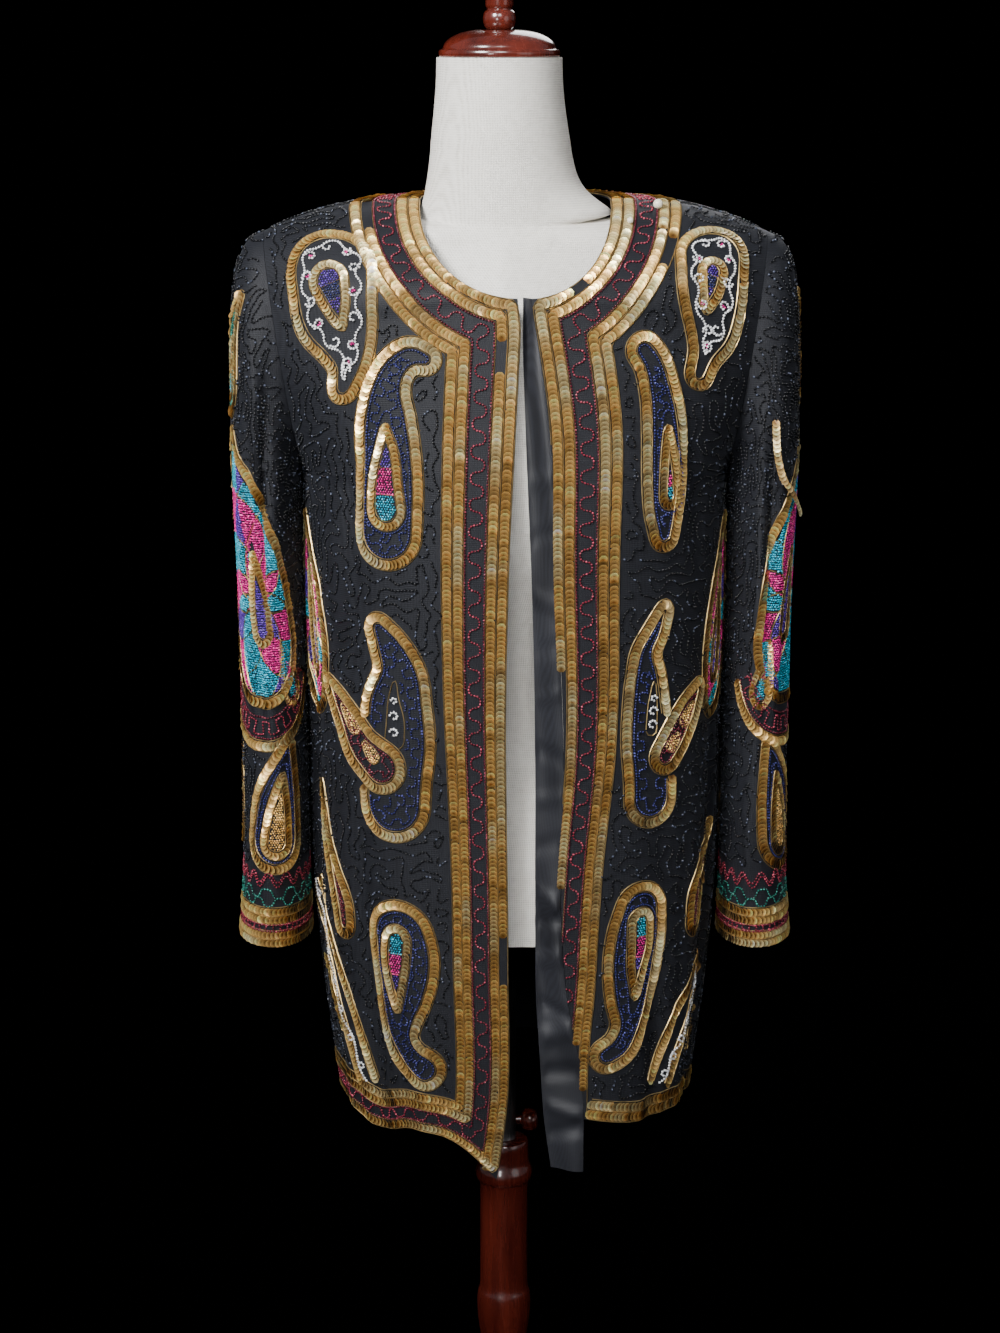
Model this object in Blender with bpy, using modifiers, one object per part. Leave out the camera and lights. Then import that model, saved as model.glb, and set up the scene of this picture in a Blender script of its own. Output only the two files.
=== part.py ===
"""Beaded evening jacket on a limbless linen dress form with a turned wooden stand.

Metres, +Z up, the front towards -Y. The origin is on the floor, under the pole's axis.
Across is measured from the jacket's centre line to either side, depth along Y.
"""

import math
from collections import namedtuple

import bmesh
import bpy
import numpy as np

# Cloth
CLOTH_WALL = 0.002
SEAM_GAP = 0.0003
JACKET_CENTRE = 0.0095  # the jacket hangs this far to the wearer's left of the pole
SHOULDER_TIP = (0.215, 1.358)  # across, height
SHOULDER_DROP_CURVE = 2.4
NECK_POINT = (0.081, 1.384)
NECKLINE_FORWARD = 0.6  # below 1 the neckline stays forward longer before it climbs
UNDERARM = (0.1835, 1.155)
FRONT_LEVEL = 1.165  # height at the front edge of the row that ends at the underarm
ARMHOLE_FRONT = 0.060
ARMHOLE_BACK = 0.056
BODY_SQUARENESS = 2.3
BACK_NECK = (0.066, 1.388)  # depth, height
BACK_LEVEL = 1.160

# Mesh rows and columns, shared so that the seams of neighbours match
LOWER_ROWS = 13
UPPER_ROWS = 11
ACROSS_CELLS = 12
FRONT_CORNER_ROW = 6
BACK_CORNER_ROW = 8
SLEEVE_RINGS = 21

# Form and stand
FORM_BOTTOM = 0.750
NECK_RADIUS = 0.0555
NECK_TOP = 1.503
NECK_LEAN = -0.004
PART_GAP = 0.0003
CAP_RADIUS = 0.0515
CAP_HEIGHT = 0.0225
CAP_SEAT_RADIUS = 0.0142
CAP_RIM_SHARE = 0.28
CAP_RIM_WIDTH = 0.0035
CAP_RIM_ROUND = 0.0020
ROD_RADIUS = 0.011
POLE_TOP = 0.530
KNOB_HEIGHT = 0.548
TURNED_STEPS = 24

BodySection = namedtuple("BodySection", "height half_width front back")
BODY = (
    BodySection(0.560, 0.1530, 0.134, 0.124),
    BodySection(0.620, 0.1620, 0.134, 0.120),
    BodySection(0.700, 0.1720, 0.132, 0.115),
    BodySection(0.790, 0.1790, 0.129, 0.109),
    BodySection(0.920, 0.1810, 0.127, 0.103),
    BodySection(1.050, 0.1830, 0.130, 0.105),
    BodySection(1.165, 0.1835, 0.129, 0.111),
    BodySection(1.250, 0.1835, 0.120, 0.108),
    BodySection(1.310, 0.1835, 0.109, 0.098),
    BodySection(1.400, 0.1835, 0.090, 0.066),
)

EdgePoint = namedtuple("EdgePoint", "height across")
RIGHT_FRONT_EDGE = (
    EdgePoint(0.545, 0.0160),
    EdgePoint(0.613, 0.0069),
    EdgePoint(0.744, 0.0061),
    EdgePoint(0.975, 0.0079),
    EdgePoint(1.110, 0.0045),
    EdgePoint(1.200, 0.0000),
    EdgePoint(1.250, -0.0025),
    EdgePoint(1.290, -0.0038),
    EdgePoint(1.310, -0.0015),
)
LEFT_FRONT_EDGE = (
    EdgePoint(0.602, 0.0600),
    EdgePoint(0.640, 0.0580),
    EdgePoint(0.708, 0.0455),
    EdgePoint(0.800, 0.0390),
    EdgePoint(0.922, 0.0410),
    EdgePoint(1.060, 0.0355),
    EdgePoint(1.210, 0.0275),
    EdgePoint(1.310, 0.0125),
)
FORM_CENTRE_LINE = (EdgePoint(0.700, 0.0), EdgePoint(1.400, 0.0))

HemPoint = namedtuple("HemPoint", "share height")
RIGHT_FRONT_HEM = (
    HemPoint(0.00, 0.546),
    HemPoint(0.13, 0.571),
    HemPoint(0.36, 0.581),
    HemPoint(0.52, 0.570),
    HemPoint(0.72, 0.583),
    HemPoint(1.00, 0.588),
)
LEFT_FRONT_HEM = (
    HemPoint(0.00, 0.602),
    HemPoint(0.35, 0.597),
    HemPoint(0.70, 0.599),
    HemPoint(1.00, 0.588),
)
BACK_HEM = (HemPoint(0.00, 0.594), HemPoint(0.50, 0.587), HemPoint(1.00, 0.588))
FORM_HEM = (HemPoint(0.00, FORM_BOTTOM), HemPoint(1.00, FORM_BOTTOM))

# A fold is a soft trough (negative depth) or ridge that runs between two heights.
# share is its place from the front edge or centre back (0) to the side seam (1).
Fold = namedtuple("Fold", "share low high width depth lean")
RIGHT_FRONT_FOLDS = (
    Fold(0.30, 0.50, 0.86, 0.10, 0.0040, 0.05),
    Fold(0.52, 0.50, 0.98, 0.09, -0.0060, 0.06),
    Fold(0.70, 0.50, 0.80, 0.07, 0.0030, 0.02),
    Fold(0.84, 0.56, 1.18, 0.07, -0.0050, -0.04),
    Fold(0.55, 1.02, 1.26, 0.08, -0.0040, 0.18),
)
LEFT_FRONT_FOLDS = (
    Fold(0.42, 0.50, 0.92, 0.10, -0.0050, -0.04),
    Fold(0.62, 0.50, 1.05, 0.08, 0.0035, 0.04),
    Fold(0.78, 0.55, 1.10, 0.07, -0.0055, -0.03),
    Fold(0.60, 1.05, 1.25, 0.08, -0.0035, 0.16),
)
BACK_FOLDS = (
    Fold(0.28, 0.50, 1.05, 0.10, -0.0060, 0.05),
    Fold(0.50, 0.50, 0.90, 0.09, 0.0040, 0.04),
    Fold(0.72, 0.52, 1.18, 0.08, -0.0055, -0.05),
)

# Sleeve sections: the side away from the body is outer, the side next to it is inner.
SleeveSection = namedtuple("SleeveSection", "outer outer_height inner inner_height front back middle")
SLEEVE = (
    SleeveSection(*SHOULDER_TIP, *UNDERARM, ARMHOLE_FRONT, ARMHOLE_BACK, 0.0),
    SleeveSection(0.2280, 1.3510, 0.1855, 1.147, 0.0615, 0.058, 0.000),
    SleeveSection(0.2368, 1.3350, 0.1862, 1.136, 0.0630, 0.060, 0.000),
    SleeveSection(0.2418, 1.3080, 0.1864, 1.122, 0.0645, 0.062, -0.001),
    SleeveSection(0.2440, 1.2650, 0.1865, 1.100, 0.0650, 0.063, -0.002),
    SleeveSection(0.2447, 1.2050, 0.1864, 1.070, 0.0650, 0.063, -0.003),
    SleeveSection(0.2440, 1.1350, 0.1860, 1.030, 0.0645, 0.062, -0.004),
    SleeveSection(0.2415, 1.0550, 0.1853, 0.975, 0.0630, 0.061, -0.006),
    SleeveSection(0.2400, 0.9600, 0.1845, 0.905, 0.0610, 0.059, -0.008),
    SleeveSection(0.2400, 0.8650, 0.1840, 0.832, 0.0590, 0.056, -0.010),
    SleeveSection(0.2415, 0.8000, 0.1840, 0.785, 0.0560, 0.053, -0.011),
    SleeveSection(0.2440, 0.7550, 0.1835, 0.750, 0.0545, 0.052, -0.011),
    SleeveSection(0.2458, 0.7360, 0.1830, 0.735, 0.0540, 0.052, -0.011),
)

# turn is the place round the sleeve: 0 next to the body, 0.25 front, 0.5 outer side, 0.75 back
SleeveFold = namedtuple("SleeveFold", "turn low high width depth lean")
RIGHT_SLEEVE_FOLDS = (
    SleeveFold(0.24, 0.96, 1.33, 0.055, -0.0080, -0.06),
    SleeveFold(0.36, 0.98, 1.24, 0.060, 0.0030, 0.02),
    SleeveFold(0.30, 0.88, 1.04, 0.050, -0.0045, 0.16),
    SleeveFold(0.68, 0.90, 1.28, 0.060, -0.0070, 0.05),
    SleeveFold(0.80, 0.80, 1.02, 0.055, -0.0040, -0.12),
)
LEFT_SLEEVE_FOLDS = (
    SleeveFold(0.27, 0.84, 1.30, 0.055, -0.0085, -0.04),
    SleeveFold(0.38, 0.86, 1.10, 0.055, -0.0040, 0.10),
    SleeveFold(0.20, 0.74, 0.90, 0.050, 0.0025, 0.00),
    SleeveFold(0.70, 0.86, 1.25, 0.060, -0.0070, -0.05),
    SleeveFold(0.82, 0.78, 0.96, 0.050, -0.0035, 0.12),
)

# The satin facing of the wearer's left front, which falls out of the opening
FacingSection = namedtuple("FacingSection", "height free_edge sewn_edge")
FACING = (
    FacingSection(0.553, 0.0315, 0.0600),
    FacingSection(0.602, 0.0250, 0.0600),
    FacingSection(0.640, 0.0225, 0.0580),
    FacingSection(0.708, 0.0185, 0.0455),
    FacingSection(0.800, 0.0172, 0.0390),
    FacingSection(0.922, 0.0170, 0.0410),
    FacingSection(1.060, 0.0140, 0.0355),
    FacingSection(1.195, 0.0085, 0.0285),
    FacingSection(1.262, 0.0062, 0.0205),
    FacingSection(1.310, 0.0060, 0.0125),
)
FACING_TOP_ROW = LOWER_ROWS + 6  # it follows the front's rows, so that the seam's gap is even
FACING_CELLS = 4
FACING_WALL = 0.0012
FACING_SET_BACK = 0.0100
FACING_SEAT = 0.0004  # how far behind the front's face its sewn edge lies

FORM_BODY = (
    BodySection(0.740, 0.1560, 0.108, 0.092),
    BodySection(0.840, 0.1600, 0.104, 0.094),
    BodySection(0.940, 0.1420, 0.088, 0.078),
    BodySection(1.010, 0.1400, 0.090, 0.076),
    BodySection(1.100, 0.1560, 0.110, 0.086),
    BodySection(1.170, 0.1640, 0.116, 0.094),
    BodySection(1.250, 0.1640, 0.106, 0.094),
    BodySection(1.310, 0.1640, 0.086, 0.082),
    BodySection(1.340, 0.1640, 0.067, 0.066),
    BodySection(1.364, 0.1640, 0.0535, 0.0530),
)
FORM_SHOULDER = (0.182, 1.3650)  # about 0.5 mm under the right shoulder's cloth
FORM_UNDERARM = (0.1640, 1.185)
FORM_ARM_FRONT = 0.030
FORM_ARM_BACK = 0.030
FORM_NECK_POINT = (0.0710, 1.3700)
FORM_NECK_FRONT = 1.364
FORM_NECK_RINGS = 12
NECK_FLARE_RATE = 1.15  # above 1 the neck is straight before it reaches its top
NECK_TOP_TAPER = 0.0022
# The neck spreads into the shoulders: left reach, right reach, height, spread, sharpness
NECK_SIDE_FLARE = (0.0100, 0.0015, 1.378, 0.018, 10)
FORM_DROP_CURVE = 1.6

# Turned profiles, each from the top down: radius, height
FINIAL_PROFILE = (
    (0.0085, 0.0750),
    (0.0115, 0.0735),
    (0.0120, 0.0700),
    (0.0120, 0.0190),
    (0.0105, 0.0165),
    (0.0128, 0.0145),
    (0.0140, 0.0100),
    (0.0135, 0.0045),
    (0.0120, 0.0010),
    (0.0105, 0.0000),
)
POLE_PROFILE = (
    (0.0205, 0.5300),
    (0.0225, 0.5280),
    (0.0228, 0.5120),
    (0.0240, 0.5050),
    (0.0262, 0.4990),
    (0.0262, 0.4950),
    (0.0238, 0.4905),
    (0.0222, 0.4870),
    (0.0220, 0.4300),
    (0.0222, 0.3850),
    (0.0240, 0.3800),
    (0.0250, 0.3690),
    (0.0246, 0.3550),
    (0.0214, 0.3350),
    (0.0185, 0.2900),
    (0.0195, 0.2000),
    (0.0210, 0.0800),
    (0.0290, 0.0480),
    (0.0320, 0.0323),
)
BASE_PROFILE = (
    (0.0600, 0.0320),
    (0.1250, 0.0270),
    (0.1420, 0.0215),
    (0.1540, 0.0190),
    (0.1660, 0.0160),
    (0.1700, 0.0110),
    (0.1700, 0.0030),
    (0.1670, 0.0000),
)

Finish = namedtuple("Finish", "colour roughness metallic")
FINISHES = {
    "black_silk": Finish((0.020, 0.022, 0.030), 0.62, 0.0),
    "satin": Finish((0.030, 0.032, 0.042), 0.35, 0.0),
    "linen": Finish((0.72, 0.70, 0.66), 0.85, 0.0),
    "mahogany": Finish((0.130, 0.030, 0.018), 0.22, 0.0),
    "steel": Finish((0.20, 0.19, 0.19), 0.35, 1.0),
}


def through(keys, values, at):
    """A smooth curve through a table's values, as cubic pieces between its keys."""
    keys = np.asarray(keys, float)
    values = np.asarray(values, float)
    at = np.clip(at, keys[0], keys[-1])
    place = min(int(np.searchsorted(keys, at, side="right")) - 1, len(keys) - 2)
    slopes = np.gradient(values, keys, axis=0)
    span = keys[place + 1] - keys[place]
    t = (at - keys[place]) / span
    return (
        (2 * t**3 - 3 * t**2 + 1) * values[place]
        + (t**3 - 2 * t**2 + t) * span * slopes[place]
        + (3 * t**2 - 2 * t**3) * values[place + 1]
        + (t**3 - t**2) * span * slopes[place + 1]
    )


def column(rows, key, value, at):
    return float(through([getattr(r, key) for r in rows], [getattr(r, value) for r in rows], at))


def soft_step(low, high, at):
    share = np.clip((at - low) / (high - low), 0.0, 1.0)
    return share * share * (3 - 2 * share)


def bump(distance, width):
    """1 at the middle of a fold, easing to 0 a width away."""
    return 0.5 + 0.5 * math.cos(math.pi * min(abs(distance) / width, 1.0))


def ellipse_point(top, bottom, depth, turn):
    """A point of an armhole: turn 0 is its lowest point and 1 its highest."""
    angle = math.pi * turn
    middle = [(a + b) / 2 for a, b in zip(top, bottom)]
    half = [(a - b) / 2 for a, b in zip(top, bottom)]
    return np.array(
        [
            middle[0] - half[0] * math.cos(angle),
            depth * math.sin(angle),
            middle[1] - half[1] * math.cos(angle),
        ]
    )


def fullness_of(turn):
    """How much of the body's curve a row takes: all below the armhole, none at the shoulder."""
    return max(math.sqrt(max(math.cos(math.pi * turn / 2), 0.0)), 0.05)


def row_between(inner, outer, fullness, height_curve):
    """A row of points from the front edge or neckline to the side seam or armhole."""
    fullness = min(fullness, 0.9995)
    widest = math.asin(fullness)
    power = BODY_SQUARENESS
    flat = (1 - fullness**power) ** (1 / power)
    points = []
    for cell in range(ACROSS_CELLS + 1):
        share = math.sin(widest * cell / ACROSS_CELLS) / fullness
        round_off = (1 - min(share * fullness, 1.0) ** power) ** (1 / power)
        inward = 1 - (round_off - flat) / (1 - flat)
        step = np.array([share, inward, share**height_curve])
        points.append(inner + (outer - inner) * step)
    return points


def half_panel(edge, hem, body, facing, armhole, neck, corner_row, level, drop_curve):
    """Outer points of one half of the body, from the hem up to the shoulder seam.

    facing is -1 for the front and 1 for the back, armhole is (top, bottom, depth),
    and neck is (corner height, neck point across, neck point height, forward power).
    drop_curve says how far along the shoulder stays high before it drops.
    """
    top, bottom, depth = armhole
    corner_height, neck_across, neck_height, neck_forward = neck
    side = "front" if facing < 0 else "back"
    rows = []
    for row in range(LOWER_ROWS + UPPER_ROWS + 1):
        upper = max(row - LOWER_ROWS, 0)
        turn = upper / UPPER_ROWS
        rise = min(row / LOWER_ROWS, 1.0)
        if row <= LOWER_ROWS:
            low = hem[0].height
            height = low + (level - low) * rise
        else:
            height = level + (corner_height - level) * min(upper / corner_row, 1.0)
        inner = np.array([
            column(edge, "height", "across", height),
            facing * column(body, "height", side, height),
            height,
        ])
        if upper > corner_row:
            angle = 0.5 * math.pi * (upper - corner_row) / (UPPER_ROWS - corner_row)
            end = np.array([neck_across, 0.0, neck_height])
            forward = max(math.cos(angle), 0.0) ** neck_forward
            rounding = np.array([math.sin(angle), 1 - forward, 1 - math.cos(angle)])
            inner = inner + (end - inner) * rounding
        if row <= LOWER_ROWS:
            outer_height = hem[-1].height + (bottom[1] - hem[-1].height) * rise
            outer = np.array([column(body, "height", "half_width", outer_height), 0.0, outer_height])
            outer[0] += (bottom[0] - column(body, "height", "half_width", bottom[1])) * rise
        else:
            outer = ellipse_point(top, bottom, facing * depth, turn)
        height_curve = 1.0 + (drop_curve - 1.0) * soft_step(0.3, 1.0, turn)
        points = row_between(inner, outer, fullness_of(turn), height_curve)
        if row < LOWER_ROWS:
            for cell, point in enumerate(points):
                share = cell / ACROSS_CELLS
                straight = hem[0].height + (hem[-1].height - hem[0].height) * share
                point[2] += (column(hem, "share", "height", share) - straight) * (1 - rise) ** 2
        rows.append(points)
    return np.array(rows)


def grid_normals(grid, closed=False):
    """Unit normals of a grid of points, from its rows and columns."""
    along = np.gradient(grid, axis=0)
    if closed:
        across = (np.roll(grid, -1, axis=1) - np.roll(grid, 1, axis=1)) / 2
    else:
        across = np.gradient(grid, axis=1)
    normals = np.cross(across, along)
    return normals / np.linalg.norm(normals, axis=2, keepdims=True)


def armhole_direction(turn, facing):
    """The shared wall direction of a sleeve and the body along the upper armhole."""
    along = np.array([SHOULDER_TIP[0] - UNDERARM[0], 0.0, SHOULDER_TIP[1] - UNDERARM[1]])
    along /= np.linalg.norm(along)
    outward = np.array([along[2], 0.0, -along[0]])
    angle = math.pi * turn
    found = -math.cos(angle) * along + 0.35 * outward
    found[1] = facing * math.sin(angle)
    return found / np.linalg.norm(found)


def unit(vectors):
    return vectors / np.linalg.norm(vectors, axis=-1, keepdims=True)


def fold_panel(points, folds):
    """Moves the points of a half panel out or in along its folds."""
    normals = outward_normals(points)
    moved = points.copy()
    for row in range(LOWER_ROWS + UPPER_ROWS + 1):
        turn = max(row - LOWER_ROWS, 0) / UPPER_ROWS
        calm = 1 - soft_step(0.35, 0.75, turn)
        for cell in range(ACROSS_CELLS + 1):
            share = cell / ACROSS_CELLS
            height = points[row, cell, 2]
            ends = soft_step(0.0, 0.08, share) * (1 - soft_step(0.93, 1.0, share))
            for fold in folds:
                middle = (fold.low + fold.high) / 2
                reach = bump(height - middle, (fold.high - fold.low) / 2)
                if fold.low < 0.56:
                    reach = 1 - soft_step(0.6 * fold.low + 0.4 * fold.high, fold.high, height)
                place = fold.share + fold.lean * (height - middle)
                amount = fold.depth * reach * bump(share - place, fold.width) * calm * ends
                moved[row, cell] += normals[row, cell] * amount
    return moved


def outward_normals(points):
    """Normals of a half panel that point out of the body, flat to its seams."""
    normals = grid_normals(points)
    if normals[LOWER_ROWS // 2, -1, 0] < 0:
        normals = -normals
    seam = unit(normals[:, -1] * np.array([1.0, 0.0, 1.0]))
    normals[: LOWER_ROWS + 1, -1] = seam[: LOWER_ROWS + 1]
    normals[-1] = unit(normals[-1] * np.array([1.0, 0.0, 1.0]))
    return normals


def panel_walls(points, facing):
    """Outer and inner points of a half panel."""
    normals = outward_normals(points)
    for upper in range(UPPER_ROWS + 1):
        turn = upper / UPPER_ROWS
        shared = soft_step(0.55, 0.75, turn)
        row = LOWER_ROWS + upper
        own = normals[row, -1]
        normals[row, -1] = unit(own * (1 - shared) + armhole_direction(turn, facing) * shared)
    outer = points.copy()
    seam_shift = np.array([0.0, facing * SEAM_GAP / 2, 0.0])
    outer[: LOWER_ROWS + 1, -1] += seam_shift
    outer[-1, :] += seam_shift
    return outer, outer - normals * CLOTH_WALL


def material(name):
    finish = FINISHES[name]
    made = bpy.data.materials.new(name)
    made.use_nodes = True
    shader = made.node_tree.nodes["Principled BSDF"]
    shader.inputs["Base Color"].default_value = (*finish.colour, 1.0)
    shader.inputs["Roughness"].default_value = finish.roughness
    shader.inputs["Metallic"].default_value = finish.metallic
    return made


def add_object(name, mesh, finish, at=(0.0, 0.0, 0.0)):
    made = bpy.data.objects.new(name, mesh)
    made.location = at
    mesh.materials.append(bpy.data.materials.get(finish) or material(finish))
    collection.objects.link(made)
    mesh.shade_smooth()
    mesh.set_sharp_from_angle(angle=math.radians(40))
    return made


def strips(index_a, index_b, flipped):
    """Quads between two lists of vertex numbers of the same length."""
    quads = []
    for place in range(len(index_a) - 1):
        quad = (index_a[place], index_a[place + 1], index_b[place + 1], index_b[place])
        quads.append(quad[::-1] if flipped else quad)
    return quads


def wall_mesh(name, outer, inner, closed=False, open_column=0):
    """A closed wall between an outer and an inner grid of points.

    closed joins the last column to the first, as round a sleeve. open_column is the
    number of rows at the first column that stay open, where a mirrored half joins on.
    """
    rows, cells = outer.shape[:2]
    numbers = np.arange(rows * cells).reshape(rows, cells)
    inside = numbers + rows * cells
    if closed:
        numbers = np.column_stack([numbers, numbers[:, 0]])
        inside = np.column_stack([inside, inside[:, 0]])
    quads = []
    for row in range(rows - 1):
        quads += strips(numbers[row], numbers[row + 1], False)
        quads += strips(inside[row], inside[row + 1], True)
    quads += strips(numbers[0], inside[0], True)
    quads += strips(numbers[-1], inside[-1], False)
    if not closed:
        first = max(open_column - 1, 0)
        quads += strips(numbers[first:, 0], inside[first:, 0], False)
        quads += strips(numbers[:, -1], inside[:, -1], True)
    points = np.concatenate([outer.reshape(-1, 3), inner.reshape(-1, 3)])
    mesh = bpy.data.meshes.new(name)
    mesh.from_pydata(points.tolist(), [], [[int(n) for n in quad] for quad in quads])
    return face_outward(mesh)


def face_outward(mesh):
    work = bmesh.new()
    work.from_mesh(mesh)
    bmesh.ops.recalc_face_normals(work, faces=work.faces)
    work.to_mesh(mesh)
    work.free()
    return mesh


def mirrored(points):
    return points * np.array([-1.0, 1.0, 1.0])


def front_points(edge, hem):
    return half_panel(
        edge,
        hem,
        BODY,
        -1,
        (SHOULDER_TIP, UNDERARM, ARMHOLE_FRONT),
        (edge[-1].height, *NECK_POINT, NECKLINE_FORWARD),
        FRONT_CORNER_ROW,
        FRONT_LEVEL,
        SHOULDER_DROP_CURVE,
    )


def back_points():
    return half_panel(
        FORM_CENTRE_LINE,
        BACK_HEM,
        BODY,
        1,
        (SHOULDER_TIP, UNDERARM, ARMHOLE_BACK),
        (BACK_NECK[1], *NECK_POINT, NECKLINE_FORWARD),
        BACK_CORNER_ROW,
        BACK_LEVEL,
        SHOULDER_DROP_CURVE,
    )


def make_fronts():
    """The two fronts. The wearer's right front is on the -X side."""
    for name, edge, hem, folds, flip in (
        ("front_right", RIGHT_FRONT_EDGE, RIGHT_FRONT_HEM, RIGHT_FRONT_FOLDS, True),
        ("front_left", LEFT_FRONT_EDGE, LEFT_FRONT_HEM, LEFT_FRONT_FOLDS, False),
    ):
        points = fold_panel(front_points(edge, hem), folds)
        outer, inner = panel_walls(points, -1)
        if flip:
            outer, inner = mirrored(outer), mirrored(inner)
        mesh = wall_mesh(name, outer, inner)
        add_object(name, mesh, "black_silk", (JACKET_CENTRE, 0.0, 0.0))


def make_back():
    """The back, one piece, as a half that is mirrored at the centre back."""
    points = fold_panel(back_points(), BACK_FOLDS)
    outer, inner = panel_walls(points, 1)
    joined = LOWER_ROWS + BACK_CORNER_ROW + 1
    outer[:joined, 0, 0] = 0.0
    inner[:joined, 0, 0] = 0.0
    mesh = wall_mesh("back", outer, inner, open_column=joined)
    back = add_object("back", mesh, "black_silk", (JACKET_CENTRE, 0.0, 0.0))
    other_half = back.modifiers.new("other_half", "MIRROR")
    other_half.merge_threshold = 0.0001


def sleeve_ring(section, turns):
    """Points round one sleeve section, from next to the body over the front and back again."""
    points = []
    for turn in turns:
        depth = -section.front if turn <= 1 else section.back
        top = (section.outer, section.outer_height)
        bottom = (section.inner, section.inner_height)
        point = ellipse_point(top, bottom, abs(depth), turn if turn <= 1 else 2 - turn)
        point[1] = math.copysign(point[1], depth) + section.middle
        points.append(point)
    return points


def sleeve_points(folds):
    turns = [step / UPPER_ROWS for step in range(2 * UPPER_ROWS)]
    keys = range(len(SLEEVE))
    rings = []
    for ring in range(SLEEVE_RINGS):
        at = ring / (SLEEVE_RINGS - 1) * (len(SLEEVE) - 1)
        section = SleeveSection(*through(keys, [tuple(row) for row in SLEEVE], at))
        rings.append(sleeve_ring(section, turns))
    rings = np.array(rings)
    normals = sleeve_normals(rings)
    moved = rings.copy()
    for ring in range(1, SLEEVE_RINGS):
        calm = soft_step(0.5, 4.0, ring) * (1 - 0.7 * soft_step(SLEEVE_RINGS - 4, SLEEVE_RINGS - 1, ring))
        for step, turn in enumerate(turns):
            height = rings[ring, step, 2]
            for fold in folds:
                middle = (fold.low + fold.high) / 2
                place = fold.turn + fold.lean * (height - middle)
                reach = bump(height - middle, (fold.high - fold.low) / 2)
                amount = fold.depth * reach * bump(turn / 2 - place, fold.width) * calm
                moved[ring, step] += normals[ring, step] * amount
    return moved


def sleeve_normals(rings):
    normals = grid_normals(rings, closed=True)
    middle = SLEEVE_RINGS // 2
    if normals[middle, UPPER_ROWS, 0] < 0:
        normals = -normals
    return normals


def make_sleeves():
    """Open tubes from just outside the armhole to the cuff."""
    along = np.array([SHOULDER_TIP[0] - UNDERARM[0], 0.0, SHOULDER_TIP[1] - UNDERARM[1]])
    along /= np.linalg.norm(along)
    outward = np.array([along[2], 0.0, -along[0]])
    for name, folds, flip in (
        ("sleeve_right", RIGHT_SLEEVE_FOLDS, True),
        ("sleeve_left", LEFT_SLEEVE_FOLDS, False),
    ):
        outer = sleeve_points(folds)
        normals = sleeve_normals(outer)
        for step in range(2 * UPPER_ROWS):
            turn = step / UPPER_ROWS
            facing = -1 if turn <= 1 else 1
            height = turn if turn <= 1 else 2 - turn
            shared = soft_step(0.55, 0.75, height)
            seam = armhole_direction(height, facing)
            normals[0, step] = unit(normals[0, step] * (1 - shared) + seam * shared)
        outer[0] += outward * SEAM_GAP
        inner = outer - normals * CLOTH_WALL
        if flip:
            outer, inner = mirrored(outer), mirrored(inner)
        mesh = wall_mesh(name, outer, inner, closed=True)
        add_object(name, mesh, "black_silk", (JACKET_CENTRE, 0.0, 0.0))


def make_facing():
    """A narrow satin strip along the wearer's left front edge, free at its other edge."""
    outer = []
    hem = LEFT_FRONT_HEM[0].height
    heights = [FACING[0].height, (FACING[0].height + hem) / 2]
    heights += [hem + (FRONT_LEVEL - hem) * row / LOWER_ROWS for row in range(LOWER_ROWS + 1)]
    corner = LEFT_FRONT_EDGE[-1].height
    for row in range(LOWER_ROWS + 1, FACING_TOP_ROW + 1):
        heights.append(FRONT_LEVEL + (corner - FRONT_LEVEL) * (row - LOWER_ROWS) / FRONT_CORNER_ROW)
    for height in heights:
        free = column(FACING, "height", "free_edge", height)
        sewn = column(LEFT_FRONT_EDGE, "height", "across", height) - SEAM_GAP
        depth = -column(BODY, "height", "front", height)
        points = []
        for cell in range(FACING_CELLS + 1):
            share = cell / FACING_CELLS
            back = FACING_SEAT + FACING_SET_BACK * math.sin(0.5 * math.pi * (1 - share)) ** 2
            crease = 0.0015 * math.sin(9 * math.pi * height + 2.2 * share) * share * (1 - share) * 4
            points.append([free + (sewn - free) * share, depth + back + crease, height])
        outer.append(points)
    outer = np.array(outer)
    normals = grid_normals(outer)
    if normals[0, 0, 1] > 0:
        normals = -normals
    normals[:, -1] = np.array([0.0, -1.0, 0.0])
    mesh = wall_mesh("facing_left", outer, outer - normals * FACING_WALL)
    add_object("facing_left", mesh, "satin", (JACKET_CENTRE, 0.0, 0.0))


def form_half(facing):
    depth = FORM_ARM_FRONT if facing < 0 else FORM_ARM_BACK
    return half_panel(
        FORM_CENTRE_LINE,
        FORM_HEM,
        FORM_BODY,
        facing,
        (FORM_SHOULDER, FORM_UNDERARM, depth),
        (FORM_NECK_FRONT, *FORM_NECK_POINT, 1.0),
        FRONT_CORNER_ROW,
        FRONT_LEVEL,
        FORM_DROP_CURVE,
    )


def side_flare(angle, height):
    """How much wider the neck is at its foot, towards each shoulder."""
    left, right, middle, spread, sharpness = NECK_SIDE_FLARE
    towards = math.cos(angle)
    reach = left if towards > 0 else right
    return reach * abs(towards) ** sharpness * math.exp(-(((height - middle) / spread) ** 2))


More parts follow.
